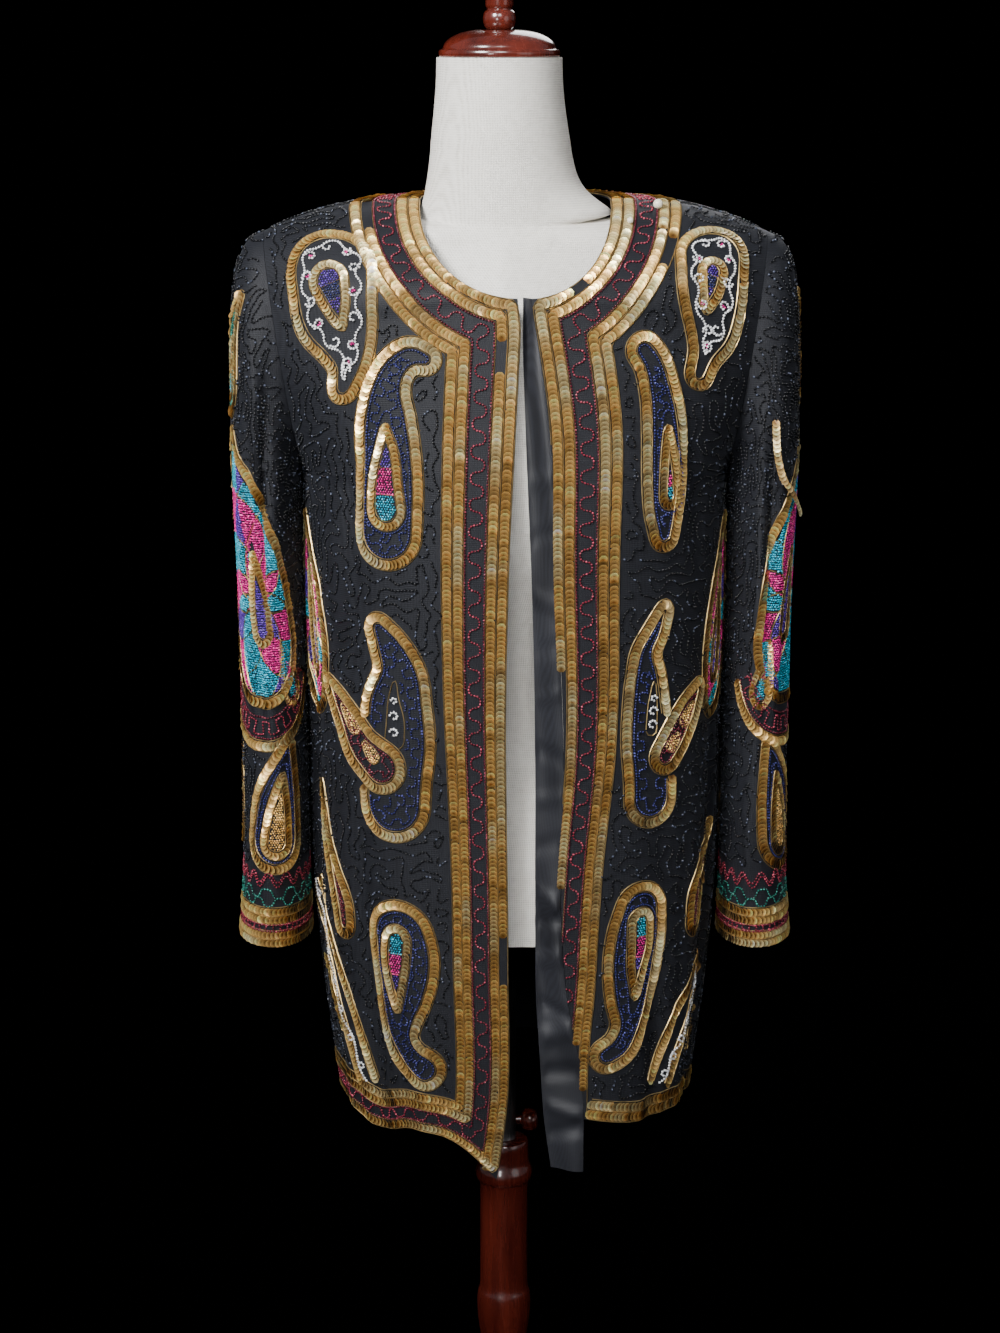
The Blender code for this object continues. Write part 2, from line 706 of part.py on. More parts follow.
def make_form():
    """The padded torso: front and back halves, flat arm plates, a flat base and a neck."""
    work = bmesh.new()
    grids = {}
    for facing in (-1, 1):
        half = form_half(facing)
        for side in (1, -1):
            grid = [[work.verts.new((side * p[0], p[1], p[2])) for p in row] for row in half]
            grids[facing, side] = grid
            for low, high in zip(grid, grid[1:]):
                for a, b, c, d in zip(low, low[1:], high[1:], high):
                    work.faces.new((a, b, c, d))
    corner = LOWER_ROWS + FRONT_CORNER_ROW
    loop = [row[0].co.copy() for row in grids[-1, -1][corner:]]
    loop += [row[0].co.copy() for row in grids[1, -1][corner:-1][::-1]]
    loop += [row[0].co.copy() for row in grids[1, 1][corner + 1 :]]
    loop += [row[0].co.copy() for row in grids[-1, 1][corner + 1 : -1][::-1]]
    previous = [work.verts.new(point) for point in loop]
    for ring in range(1, FORM_NECK_RINGS + 1):
        share = ring / FORM_NECK_RINGS
        round_off = math.sin(0.5 * math.pi * min(share * NECK_FLARE_RATE, 1.0))
        current = []
        for point in loop:
            angle = math.atan2(point[1], point[0])
            wide = math.hypot(point[0], point[1])
            radius = wide + (NECK_RADIUS - wide) * round_off
            lean = NECK_LEAN * round_off
            height = point[2] + (NECK_TOP - point[2]) * share
            radius -= NECK_TOP_TAPER * soft_step(0.5, 1.0, share)
            radius += side_flare(angle, height)
            current.append(work.verts.new((
                lean + radius * math.cos(angle), radius * math.sin(angle), height
            )))
        for place in range(len(loop)):
            after = (place + 1) % len(loop)
            work.faces.new((previous[place], previous[after], current[after], current[place]))
        previous = current
    work.faces.new(previous)
    for side in (1, -1):
        plate = [grids[-1, side][LOWER_ROWS + upper][-1].co.copy() for upper in range(UPPER_ROWS + 1)]
        plate += [grids[1, side][LOWER_ROWS + upper][-1].co.copy() for upper in range(1, UPPER_ROWS)][::-1]
        work.faces.new([work.verts.new(point) for point in plate])
    bottom = [v.co.copy() for v in grids[-1, 1][0]] + [v.co.copy() for v in grids[1, 1][0][:-1][::-1]]
    bottom += [v.co.copy() for v in grids[1, -1][0][1:]] + [v.co.copy() for v in grids[-1, -1][0][1:-1][::-1]]
    work.faces.new([work.verts.new(point) for point in bottom])
    bmesh.ops.remove_doubles(work, verts=work.verts, dist=0.00002)
    bmesh.ops.recalc_face_normals(work, faces=work.faces)
    mesh = bpy.data.meshes.new("form_torso")
    work.to_mesh(mesh)
    work.free()
    add_object("form_torso", mesh, "linen")


def turned(name, profile, finish, at, lay_along_x=False):
    """A solid of revolution from a profile that runs from the top down, closed on its axis."""
    outline = [(0.0, profile[0][1]), *profile, (0.0, profile[-1][1])]
    mesh = bpy.data.meshes.new(name)
    mesh.from_pydata([(r, 0.0, z) for r, z in outline], [(i, i + 1) for i in range(len(outline) - 1)], [])
    made = add_object(name, mesh, finish, at)
    if lay_along_x:
        made.rotation_euler = (0.0, math.pi / 2, 0.0)
    screw = made.modifiers.new("turn", "SCREW")
    screw.steps = TURNED_STEPS
    screw.render_steps = TURNED_STEPS
    screw.use_merge_vertices = True
    screw.merge_threshold = 0.00005
    screw.use_smooth_shade = True
    return made


def cap_profile():
    """A low dome over a narrow rim, with the finial's seat flat on top."""
    rim = CAP_HEIGHT * CAP_RIM_SHARE
    dome = CAP_RADIUS - CAP_RIM_WIDTH - CAP_SEAT_RADIUS
    profile = [(CAP_SEAT_RADIUS, CAP_HEIGHT)]
    for step in range(1, 8):
        angle = 0.5 * math.pi * step / 8
        radius = CAP_SEAT_RADIUS + dome * math.sin(angle)
        profile.append((radius, rim + (CAP_HEIGHT - rim) * math.cos(angle)))
    profile += [(CAP_RADIUS - CAP_RIM_ROUND, rim), (CAP_RADIUS, rim * 0.7), (CAP_RADIUS, rim * 0.25)]
    profile.append((CAP_RADIUS - CAP_RIM_ROUND, 0.0))
    return profile


def make_stand():
    """Neck cap and finial above the form, rod, clamp knob, pole and round base below it."""
    cap_at = NECK_TOP + PART_GAP
    turned("neck_cap", cap_profile(), "mahogany", (NECK_LEAN, 0.0, cap_at))
    turned("finial", FINIAL_PROFILE, "mahogany", (NECK_LEAN, 0.0, cap_at + CAP_HEIGHT + PART_GAP))
    rod_length = FORM_BOTTOM - POLE_TOP - 2 * PART_GAP
    rod = ((ROD_RADIUS, rod_length), (ROD_RADIUS, 0.0))
    turned("rod", rod, "steel", (0.0, 0.0, POLE_TOP + PART_GAP))
    knob = ((0.0030, 0.0200), (0.0080, 0.0185), (0.0105, 0.0140), (0.0105, 0.0105), (0.0080, 0.0060))
    knob += ((0.0042, 0.0045), (0.0042, 0.0))
    turned("clamp_knob", knob, "mahogany", (ROD_RADIUS + PART_GAP, 0.0, KNOB_HEIGHT), True)
    turned("pole", POLE_PROFILE, "mahogany", (0.0, 0.0, 0.0))
    turned("base", BASE_PROFILE, "mahogany", (0.0, 0.0, 0.0))


for leftover in list(bpy.data.objects):
    bpy.data.objects.remove(leftover)
collection = bpy.data.collections.new("beaded_jacket")
bpy.context.scene.collection.children.link(collection)
make_fronts()
make_back()
make_sleeves()
make_facing()
make_form()
make_stand()
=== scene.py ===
import math
import random

import bmesh
import bpy
import numpy as np
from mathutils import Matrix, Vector
from mathutils.bvhtree import BVHTree


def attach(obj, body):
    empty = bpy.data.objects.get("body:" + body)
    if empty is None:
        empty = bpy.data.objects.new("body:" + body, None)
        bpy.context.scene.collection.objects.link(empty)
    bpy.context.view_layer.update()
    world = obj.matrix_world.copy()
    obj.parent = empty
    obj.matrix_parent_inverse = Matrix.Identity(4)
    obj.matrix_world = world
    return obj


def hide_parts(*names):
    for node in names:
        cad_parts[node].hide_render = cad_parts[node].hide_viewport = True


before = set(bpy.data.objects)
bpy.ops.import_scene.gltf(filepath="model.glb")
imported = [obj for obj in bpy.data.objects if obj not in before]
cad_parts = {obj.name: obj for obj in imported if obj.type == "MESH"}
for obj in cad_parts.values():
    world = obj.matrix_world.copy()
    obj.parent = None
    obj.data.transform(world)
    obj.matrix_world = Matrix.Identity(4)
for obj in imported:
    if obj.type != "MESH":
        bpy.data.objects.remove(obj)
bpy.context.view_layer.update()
scene = bpy.context.scene
print("frame loaded:", len(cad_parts), "nodes")

# The jacket's cut, in metres. Across runs from the jacket's centre line to either side,
# depth along Y, height along Z. The solids in the frame follow the same numbers.
jacketCut = {
    "centre": 0.0095,
    "shoulderTip": (0.215, 1.358),
    "dropCurve": 2.4,
    "neckPoint": (0.081, 1.384),
    "necklineForward": 0.6,
    "underarm": (0.1835, 1.155),
    "frontLevel": 1.165,
    "backLevel": 1.160,
    "armholeFront": 0.060,
    "armholeBack": 0.056,
    "squareness": 2.3,
    "backNeck": 1.388,
    "seamGap": 0.0003,
    "clothWall": 0.0011,
    "lowerRows": 13,
    "upperRows": 11,
    "acrossCells": 12,
    "frontCorner": 6,
    "backCorner": 8,
    "finerRows": 4,
    "finerCells": 3,
}

# height, half width, front depth, back depth
bodySections = np.array([
    (0.560, 0.1530, 0.134, 0.124),
    (0.620, 0.1620, 0.134, 0.120),
    (0.700, 0.1720, 0.132, 0.115),
    (0.790, 0.1790, 0.129, 0.109),
    (0.920, 0.1810, 0.127, 0.103),
    (1.050, 0.1830, 0.130, 0.105),
    (1.165, 0.1835, 0.129, 0.111),
    (1.250, 0.1835, 0.120, 0.108),
    (1.310, 0.1835, 0.109, 0.098),
    (1.400, 0.1835, 0.090, 0.066),
])

# height, across
rightFrontEdge = np.array([
    (0.545, 0.0160),
    (0.613, 0.0069),
    (0.744, 0.0061),
    (0.975, 0.0079),
    (1.110, 0.0045),
    (1.200, 0.0000),
    (1.250, -0.0025),
    (1.290, -0.0038),
    (1.310, -0.0015),
])
leftFrontEdge = np.array([
    (0.602, 0.0600),
    (0.640, 0.0580),
    (0.708, 0.0455),
    (0.800, 0.0390),
    (0.922, 0.0410),
    (1.060, 0.0355),
    (1.210, 0.0275),
    (1.310, 0.0125),
])
centreLine = np.array([(0.700, 0.0), (1.400, 0.0)])

# share of the way to the side seam, height
rightFrontHem = np.array([
    (0.00, 0.546), (0.13, 0.571), (0.36, 0.581), (0.52, 0.570), (0.72, 0.583), (1.00, 0.588),
])
leftFrontHem = np.array([(0.00, 0.602), (0.35, 0.597), (0.70, 0.599), (1.00, 0.588)])
backHem = np.array([(0.00, 0.594), (0.50, 0.587), (1.00, 0.588)])

# Folds: share, low, high, width, depth, lean. A negative depth is a soft trough.
rightFrontFolds = (
    (0.30, 0.50, 0.86, 0.10, 0.0040, 0.05),
    (0.52, 0.50, 0.98, 0.09, -0.0060, 0.06),
    (0.70, 0.50, 0.80, 0.07, 0.0030, 0.02),
    (0.84, 0.56, 1.18, 0.07, -0.0050, -0.04),
    (0.55, 1.02, 1.26, 0.08, -0.0040, 0.18),
)
leftFrontFolds = (
    (0.42, 0.50, 0.92, 0.10, -0.0050, -0.04),
    (0.62, 0.50, 1.05, 0.08, 0.0035, 0.04),
    (0.78, 0.55, 1.10, 0.07, -0.0055, -0.03),
    (0.60, 1.05, 1.25, 0.08, -0.0035, 0.16),
)
backFolds = (
    (0.28, 0.50, 1.05, 0.10, -0.0060, 0.05),
    (0.50, 0.50, 0.90, 0.09, 0.0040, 0.04),
    (0.72, 0.52, 1.18, 0.08, -0.0055, -0.05),
)

# Small creases that the solids leave out, in the same columns
rightFrontCreases = (
    (0.62, 0.74, 0.98, 0.030, -0.0016, 0.10),
    (0.76, 0.98, 1.16, 0.035, -0.0018, -0.22),
    (0.90, 0.90, 1.14, 0.035, 0.0012, 0.05),
    (0.40, 0.60, 0.72, 0.035, -0.0013, 0.12),
)
leftFrontCreases = (
    (0.70, 0.70, 0.94, 0.030, -0.0017, -0.12),
    (0.82, 0.96, 1.15, 0.035, -0.0016, 0.20),
    (0.52, 0.60, 0.76, 0.035, 0.0013, 0.06),
)
backCreases = (
    (0.40, 0.86, 1.10, 0.035, -0.0016, 0.15),
    (0.62, 0.66, 0.88, 0.035, 0.0014, -0.10),
    (0.84, 0.92, 1.14, 0.035, -0.0018, 0.10),
)

# Sleeve sections: outer, outer height, inner, inner height, front, back, middle
sleeveSections = np.array([
    (0.2150, 1.3580, 0.1835, 1.155, 0.0600, 0.056, 0.000),
    (0.2280, 1.3510, 0.1855, 1.147, 0.0615, 0.058, 0.000),
    (0.2368, 1.3350, 0.1862, 1.136, 0.0630, 0.060, 0.000),
    (0.2418, 1.3080, 0.1864, 1.122, 0.0645, 0.062, -0.001),
    (0.2440, 1.2650, 0.1865, 1.100, 0.0650, 0.063, -0.002),
    (0.2447, 1.2050, 0.1864, 1.070, 0.0650, 0.063, -0.003),
    (0.2440, 1.1350, 0.1860, 1.030, 0.0645, 0.062, -0.004),
    (0.2415, 1.0550, 0.1853, 0.975, 0.0630, 0.061, -0.006),
    (0.2400, 0.9600, 0.1845, 0.905, 0.0610, 0.059, -0.008),
    (0.2400, 0.8650, 0.1840, 0.832, 0.0590, 0.056, -0.010),
    (0.2415, 0.8000, 0.1840, 0.785, 0.0560, 0.053, -0.011),
    (0.2440, 0.7550, 0.1835, 0.750, 0.0545, 0.052, -0.011),
    (0.2458, 0.7360, 0.1830, 0.735, 0.0540, 0.052, -0.011),
])
sleeveSettings = {"rings": 21, "finer": 4, "stepsRound": 66}

# Sleeve folds: turn, low, high, width, depth, lean
rightSleeveFolds = (
    (0.24, 0.96, 1.33, 0.055, -0.0080, -0.06),
    (0.36, 0.98, 1.24, 0.060, 0.0030, 0.02),
    (0.30, 0.88, 1.04, 0.050, -0.0045, 0.16),
    (0.68, 0.90, 1.28, 0.060, -0.0070, 0.05),
    (0.80, 0.80, 1.02, 0.055, -0.0040, -0.12),
)
leftSleeveFolds = (
    (0.27, 0.84, 1.30, 0.055, -0.0085, -0.04),
    (0.38, 0.86, 1.10, 0.055, -0.0040, 0.10),
    (0.20, 0.74, 0.90, 0.050, 0.0025, 0.00),
    (0.70, 0.86, 1.25, 0.060, -0.0070, -0.05),
    (0.82, 0.78, 0.96, 0.050, -0.0035, 0.12),
)
sleeveCreases = (
    (0.31, 1.06, 1.26, 0.022, -0.0018, 0.15),
    (0.18, 0.98, 1.14, 0.025, -0.0015, -0.20),
    (0.44, 0.90, 1.02, 0.022, 0.0012, 0.30),
    (0.62, 1.00, 1.20, 0.022, -0.0016, 0.15),
    (0.90, 0.86, 1.06, 0.025, -0.0015, 0.10),
)


def through(table, at):
    # A smooth curve through a table whose first column is the key
    keys = table[:, 0]
    values = table[:, 1:]
    at = np.clip(np.atleast_1d(at), keys[0], keys[-1])
    place = np.clip(np.searchsorted(keys, at, side="right") - 1, 0, len(keys) - 2)
    slopes = np.gradient(values, keys, axis=0)
    span = (keys[place + 1] - keys[place])[:, None]
    t = ((at - keys[place]) / span[:, 0])[:, None]
    return (
        (2 * t**3 - 3 * t**2 + 1) * values[place]
        + (t**3 - 2 * t**2 + t) * span * slopes[place]
        + (3 * t**2 - 2 * t**3) * values[place + 1]
        + (t**3 - t**2) * span * slopes[place + 1]
    )


def softStep(low, high, at):
    share = np.clip((at - low) / (high - low), 0.0, 1.0)
    return share * share * (3 - 2 * share)


def bump(distance, width):
    return 0.5 + 0.5 * np.cos(np.pi * np.minimum(np.abs(distance) / width, 1.0))


def unit(vectors):
    return vectors / np.maximum(np.linalg.norm(vectors, axis=-1, keepdims=True), 1e-12)


def lengthAlong(points):
    # How far each point of a path is from its start
    return np.concatenate([[0.0], np.cumsum(np.linalg.norm(np.diff(points, axis=0), axis=1))])


def onCircle(angle):
    return np.column_stack([np.cos(angle), np.sin(angle)])


def angleOf(vector):
    return math.atan2(vector[1], vector[0])


def gridQuads(numbers):
    # Faces between the neighbouring rows and columns of a grid of point numbers
    corners = [numbers[:-1, :-1], numbers[:-1, 1:], numbers[1:, 1:], numbers[1:, :-1]]
    return np.stack(corners, axis=-1).reshape(-1, 4)


def rimQuads(first, second):
    return np.stack([first[:-1], first[1:], second[1:], second[:-1]], axis=-1)


def cornerRow(corner):
    # The row of a panel at which its edge turns into the neckline
    return (jacketCut["lowerRows"] + jacketCut[corner]) * jacketCut["finerRows"]


def ellipsePoint(top, bottom, depth, turn):
    angle = math.pi * turn
    middle = [(a + b) / 2 for a, b in zip(top, bottom)]
    half = [(a - b) / 2 for a, b in zip(top, bottom)]
    return np.array([
        middle[0] - half[0] * math.cos(angle),
        depth * math.sin(angle),
        middle[1] - half[1] * math.cos(angle),
    ])


def rowBetween(inner, outer, fullness, heightCurve, cells, power):
    fullness = min(fullness, 0.9995)
    widest = math.asin(fullness)
    flat = (1 - fullness**power) ** (1 / power)
    share = np.sin(widest * np.arange(cells + 1) / cells) / fullness
    roundOff = (1 - np.minimum(share * fullness, 1.0) ** power) ** (1 / power)
    inward = 1 - (roundOff - flat) / (1 - flat)
    step = np.stack([share, inward, share**heightCurve], axis=1)
    return inner + (outer - inner) * step


def halfPanel(shape):
    # Outer points of one half of the body, from the hem up to the shoulder seam
    lower = jacketCut["lowerRows"] * shape["finerRows"]
    upper = jacketCut["upperRows"] * shape["finerRows"]
    corner = shape["corner"] * shape["finerRows"]
    cells = jacketCut["acrossCells"] * shape["finerCells"]
    facing = shape["facing"]
    sections = shape["sections"]
    depthColumn = 2 if facing < 0 else 3
    widths = sections[:, (0, 1)]
    depths = sections[:, (0, depthColumn)]
    top, bottom, depth = shape["armhole"]
    hem = shape["hem"]
    rows = []
    for row in range(lower + upper + 1):
        above = max(row - lower, 0)
        turn = above / upper
        rise = min(row / lower, 1.0)
        if row <= lower:
            height = hem[0, 1] + (shape["level"] - hem[0, 1]) * rise
        else:
            height = shape["level"] + (shape["cornerHeight"] - shape["level"]) * min(above / corner, 1.0)
        inner = np.array([
            through(shape["edge"], height)[0, 0],
            facing * through(depths, height)[0, 0],
            height,
        ])
        if above > corner:
            angle = 0.5 * math.pi * (above - corner) / (upper - corner)
            end = np.array([shape["neckPoint"][0], 0.0, shape["neckPoint"][1]])
            forward = max(math.cos(angle), 0.0) ** shape["neckForward"]
            inner = inner + (end - inner) * np.array([math.sin(angle), 1 - forward, 1 - math.cos(angle)])
        if row <= lower:
            outerHeight = hem[-1, 1] + (bottom[1] - hem[-1, 1]) * rise
            outer = np.array([through(widths, outerHeight)[0, 0], 0.0, outerHeight])
            outer[0] += (bottom[0] - through(widths, bottom[1])[0, 0]) * rise
        else:
            outer = ellipsePoint(top, bottom, facing * depth, turn)
        heightCurve = 1.0 + (shape["dropCurve"] - 1.0) * softStep(0.3, 1.0, turn)
        fullness = max(math.sqrt(max(math.cos(math.pi * turn / 2), 0.0)), 0.05)
        points = rowBetween(inner, outer, fullness, heightCurve, cells, jacketCut["squareness"])
        if row < lower:
            share = np.arange(cells + 1) / cells
            straight = hem[0, 1] + (hem[-1, 1] - hem[0, 1]) * share
            points[:, 2] += (through(hem, share)[:, 0] - straight) * (1 - rise) ** 2
        rows.append(points)
    return np.array(rows)


def gridNormals(grid, closed=False):
    along = np.gradient(grid, axis=0)
    if closed:
        across = (np.roll(grid, -1, axis=1) - np.roll(grid, 1, axis=1)) / 2
    else:
        across = np.gradient(grid, axis=1)
    return unit(np.cross(across, along))


def outwardNormals(points, lower):
    normals = gridNormals(points)
    if normals[lower // 2, -1, 0] < 0:
        normals = -normals
    flatToSeam = np.array([1.0, 0.0, 1.0])
    normals[: lower + 1, -1] = unit(normals[: lower + 1, -1] * flatToSeam)
    normals[-1] = unit(normals[-1] * flatToSeam)
    return normals


def foldPanel(points, folds, finerRows):
    lower = jacketCut["lowerRows"] * finerRows
    upper = jacketCut["upperRows"] * finerRows
    normals = outwardNormals(points, lower)
    turn = np.maximum(np.arange(len(points)) - lower, 0) / upper
    calm = (1 - softStep(0.35, 0.75, turn))[:, None]
    share = np.linspace(0, 1, points.shape[1])[None, :]
    ends = softStep(0.0, 0.08, share) * (1 - softStep(0.93, 1.0, share))
    height = points[:, :, 2]
    total = np.zeros(height.shape)
    for place, low, high, width, depth, lean in folds:
        middle = (low + high) / 2
        reach = bump(height - middle, (high - low) / 2)
        if low < 0.56:
            reach = 1 - softStep(0.6 * low + 0.4 * high, high, height)
        total += depth * reach * bump(share - place - lean * (height - middle), width)
    return points + normals * (total * calm * ends)[:, :, None]


def bodyPanel(name, facing, edge, hem, folds, flip):
    # One panel of the body as a grid of points, normals and flat pattern coordinates
    front = facing < 0
    side = "front" if front else "back"
    armholeDepth = jacketCut["armholeFront" if front else "armholeBack"]
    shape = {
        "edge": edge,
        "hem": hem,
        "sections": bodySections,
        "facing": facing,
        "armhole": (jacketCut["shoulderTip"], jacketCut["underarm"], armholeDepth),
        "corner": jacketCut[side + "Corner"],
        "cornerHeight": edge[-1, 0] if front else jacketCut["backNeck"],
        "level": jacketCut[side + "Level"],
        "neckPoint": jacketCut["neckPoint"],
        "neckForward": jacketCut["necklineForward"],
        "dropCurve": jacketCut["dropCurve"],
        "finerRows": jacketCut["finerRows"],
        "finerCells": jacketCut["finerCells"],
    }
    finerRows = jacketCut["finerRows"]
    lower = jacketCut["lowerRows"] * finerRows
    points = foldPanel(halfPanel(shape), folds, finerRows)
    normals = outwardNormals(points, lower)
    points[: lower + 1, -1, 1] += facing * jacketCut["seamGap"] / 2
    points[-1, :, 1] += facing * jacketCut["seamGap"] / 2
    step = np.linalg.norm(np.diff(points[:, :, :2], axis=1), axis=2)
    fromEdge = np.concatenate([np.zeros((len(points), 1)), np.cumsum(step, axis=1)], axis=1)
    flatAcross = points[:, :1, 0] + fromEdge
    rise = np.linalg.norm(np.diff(points[lower:, :, 1:], axis=0), axis=2)
    flatUp = points[:, :, 2].copy()
    flatUp[lower + 1 :] = flatUp[lower] + np.cumsum(rise, axis=0)
    return finishPanel(name, points, normals, np.stack([flatAcross, flatUp], axis=2), flip)


def finishPanel(name, points, normals, flat, flip):
    side = -1.0 if flip else 1.0
    points = points * np.array([side, 1.0, 1.0]) + np.array([jacketCut["centre"], 0.0, 0.0])
    normals = normals * np.array([side, 1.0, 1.0])
    rows, cells = points.shape[:2]
    quads = gridQuads(np.arange(rows * cells).reshape(rows, cells))
    corners = np.concatenate([quads[:, (0, 1, 2)], quads[:, (0, 2, 3)]])
    flatPoints = np.column_stack([flat.reshape(-1, 2), np.zeros(rows * cells)])
    return {
        "name": name,
        "points": points,
        "normals": normals,
        "flat": flat,
        "side": side,
        "corners": corners,
        "flatTree": BVHTree.FromPolygons(flatPoints.tolist(), corners.tolist()),
        "tree": BVHTree.FromPolygons(points.reshape(-1, 3).tolist(), corners.tolist()),
        "flatPoints": flatPoints[:, :2],
        "solidPoints": points.reshape(-1, 3),
        "solidNormals": normals.reshape(-1, 3),
    }


def lift(panel, flat):
    # Flat pattern points to points and normals on the hung cloth; found says which are on it
    flat = np.asarray(flat, float)
    faces = np.full(len(flat), -1)
    for number, (x, y) in enumerate(flat):
        hit = panel["flatTree"].ray_cast(Vector((x, y, 1.0)), Vector((0.0, 0.0, -1.0)))
        if hit[2] is not None:
            faces[number] = hit[2]
    found = faces >= 0
    corners = panel["corners"][np.maximum(faces, 0)]
    a, b, c = (panel["flatPoints"][corners[:, k]] for k in range(3))
    ab, ac, ap = b - a, c - a, flat - a
    area = ab[:, 0] * ac[:, 1] - ab[:, 1] * ac[:, 0]
    area = np.where(np.abs(area) < 1e-12, 1e-12, area)
    v = (ap[:, 0] * ac[:, 1] - ap[:, 1] * ac[:, 0]) / area
    w = (ab[:, 0] * ap[:, 1] - ab[:, 1] * ap[:, 0]) / area
    share = np.stack([1 - v - w, v, w], axis=1)
    points = sum(share[:, k : k + 1] * panel["solidPoints"][corners[:, k]] for k in range(3))
    normals = sum(share[:, k : k + 1] * panel["solidNormals"][corners[:, k]] for k in range(3))
    return points, unit(normals), found


def flatFromFront(panel, across, height, facing=-1):
    # The flat pattern point that shows at this across and height when seen squarely
    x = jacketCut["centre"] + panel["side"] * across
    hit = panel["tree"].ray_cast(Vector((x, facing * 1.0, height)), Vector((0.0, -facing * 1.0, 0.0)))
    if hit[2] is None:
        raise ValueError(f"{panel['name']}: nothing at {across}, {height}")
    corner = panel["corners"][hit[2]]
    near = panel["solidPoints"][corner]
    weights = 1 / (np.linalg.norm(near - np.array(hit[0]), axis=1) + 1e-6)
    return (panel["flatPoints"][corner] * weights[:, None]).sum(axis=0) / weights.sum()


def sleeveNormals(grid):
    rings, steps = grid.shape[:2]
    normals = gridNormals(grid, closed=True)
    return -normals if normals[rings // 2, steps // 2, 0] < 0 else normals


def sleevePanel(name, folds, flip):
    finer = sleeveSettings["finer"]
    rings = (sleeveSettings["rings"] - 1) * finer + 1
    steps = sleeveSettings["stepsRound"]
    keys = np.arange(len(sleeveSections), dtype=float)
    table = np.column_stack([keys, sleeveSections])
    grid = np.zeros((rings, steps, 3))
    for ring in range(rings):
        section = through(table, ring / (rings - 1) * (len(sleeveSections) - 1))[0]
        outer, outerHeight, inner, innerHeight, front, back, middle = section
        for step in range(steps):
            turn = 2 * step / steps
            way, depth, at = (-1, front, turn) if turn <= 1 else (1, back, 2 - turn)
            point = ellipsePoint((outer, outerHeight), (inner, innerHeight), depth, at)
            point[1] = middle + way * point[1]
            grid[ring, step] = point
    normals = sleeveNormals(grid)
    ringPlace = np.arange(rings)[:, None] / finer
    last = sleeveSettings["rings"] - 1
    calm = softStep(0.5, 4.0, ringPlace) * (1 - 0.7 * softStep(last - 3, last, ringPlace))
    around = np.arange(steps)[None, :] / steps
    height = grid[:, :, 2]
    total = np.zeros(height.shape)
    for place, low, high, width, depth, lean in folds:
        middle = (low + high) / 2
        reach = bump(height - middle, (high - low) / 2)
        total += depth * reach * bump(around - place - lean * (height - middle), width)
    grid = grid + normals * (total * calm)[:, :, None]
    normals = sleeveNormals(grid)
    tip = np.subtract(jacketCut["shoulderTip"], jacketCut["underarm"])
    tip = unit(tip)
    grid[0] += np.array([tip[1], 0.0, -tip[0]]) * jacketCut["seamGap"]
    # The flat pattern opens at the side next to the body; x is 0 at the front of the arm
    grid = np.concatenate([grid, grid[:, :1]], axis=1)
    normals = np.concatenate([normals, normals[:, :1]], axis=1)
    step = np.linalg.norm(np.diff(grid, axis=1), axis=2)
    flatAcross = np.concatenate([np.zeros((rings, 1)), np.cumsum(step, axis=1)], axis=1)
    quarter = steps // 4
    flatAcross -= flatAcross[:, quarter : quarter + 1]
    return finishPanel(name, grid, normals, np.stack([flatAcross, grid[:, :, 2]], axis=2), flip)


def makePanels():
    panels = {}
    for name, edge, hem, folds, flip in (
        ("front_right", rightFrontEdge, rightFrontHem, rightFrontFolds + rightFrontCreases, True),
        ("front_left", leftFrontEdge, leftFrontHem, leftFrontFolds + leftFrontCreases, False),
    ):
        panels[name] = bodyPanel(name, -1, edge, hem, folds, flip)
    for name, flip in (("back_right", True), ("back_left", False)):
        panels[name] = bodyPanel(name, 1, centreLine, backHem, backFolds + backCreases, flip)
    for name, folds, flip in (
        ("sleeve_right", rightSleeveFolds, True),
        ("sleeve_left", leftSleeveFolds, False),
    ):
        panels[name] = sleevePanel(name, folds + sleeveCreases, flip)
    return panels


panels = makePanels()
print("panels lofted:", ", ".join(panels))


# Materials

def newMaterial(name):
    made = bpy.data.materials.new(name)
    made.use_nodes = True
    return made, made.node_tree, made.node_tree.nodes["Principled BSDF"]


def newGroup(name, inputs, outputs):
    group = bpy.data.node_groups.new(name, "ShaderNodeTree")
    for label, kind, value in inputs:
        socket = group.interface.new_socket(name=label, in_out="INPUT", socket_type=kind)
        socket.default_value = value
    for label, kind in outputs:
        group.interface.new_socket(name=label, in_out="OUTPUT", socket_type=kind)
    return group, group.nodes.new("NodeGroupInput"), group.nodes.new("NodeGroupOutput")


def mathNode(tree, operation, first, second=None):
    node = tree.nodes.new("ShaderNodeMath")
    node.operation = operation
    for socket, value in zip(node.inputs, (first, second)):
        if isinstance(value, (int, float)):
            socket.default_value = value
        elif value is not None:
            tree.links.new(value, socket)
    return node.outputs[0]


def mixNode(tree, share, first, second, blend="MIX"):
    node = tree.nodes.new("ShaderNodeMix")
    node.data_type = "RGBA"
    node.blend_type = blend
    for label, value in (("Factor", share), ("A", first), ("B", second)):
        socket = [s for s in node.inputs if s.name == label and s.enabled][0]
        if isinstance(value, (int, float)):
            socket.default_value = value
        elif isinstance(value, tuple):
            socket.default_value = (*value, 1.0)
        else:
            tree.links.new(value, socket)
    return [s for s in node.outputs if s.enabled][0]


def noiseNode(tree, scale, detail=2.0, at=None):
    node = tree.nodes.new("ShaderNodeTexNoise")
    node.inputs["Scale"].default_value = scale
    node.inputs["Detail"].default_value = detail
    if at is not None:
        tree.links.new(at, node.inputs["Vector"])
    return node


def setInputs(node, values):
    for label, value in values.items():
        node.inputs[label].default_value = value


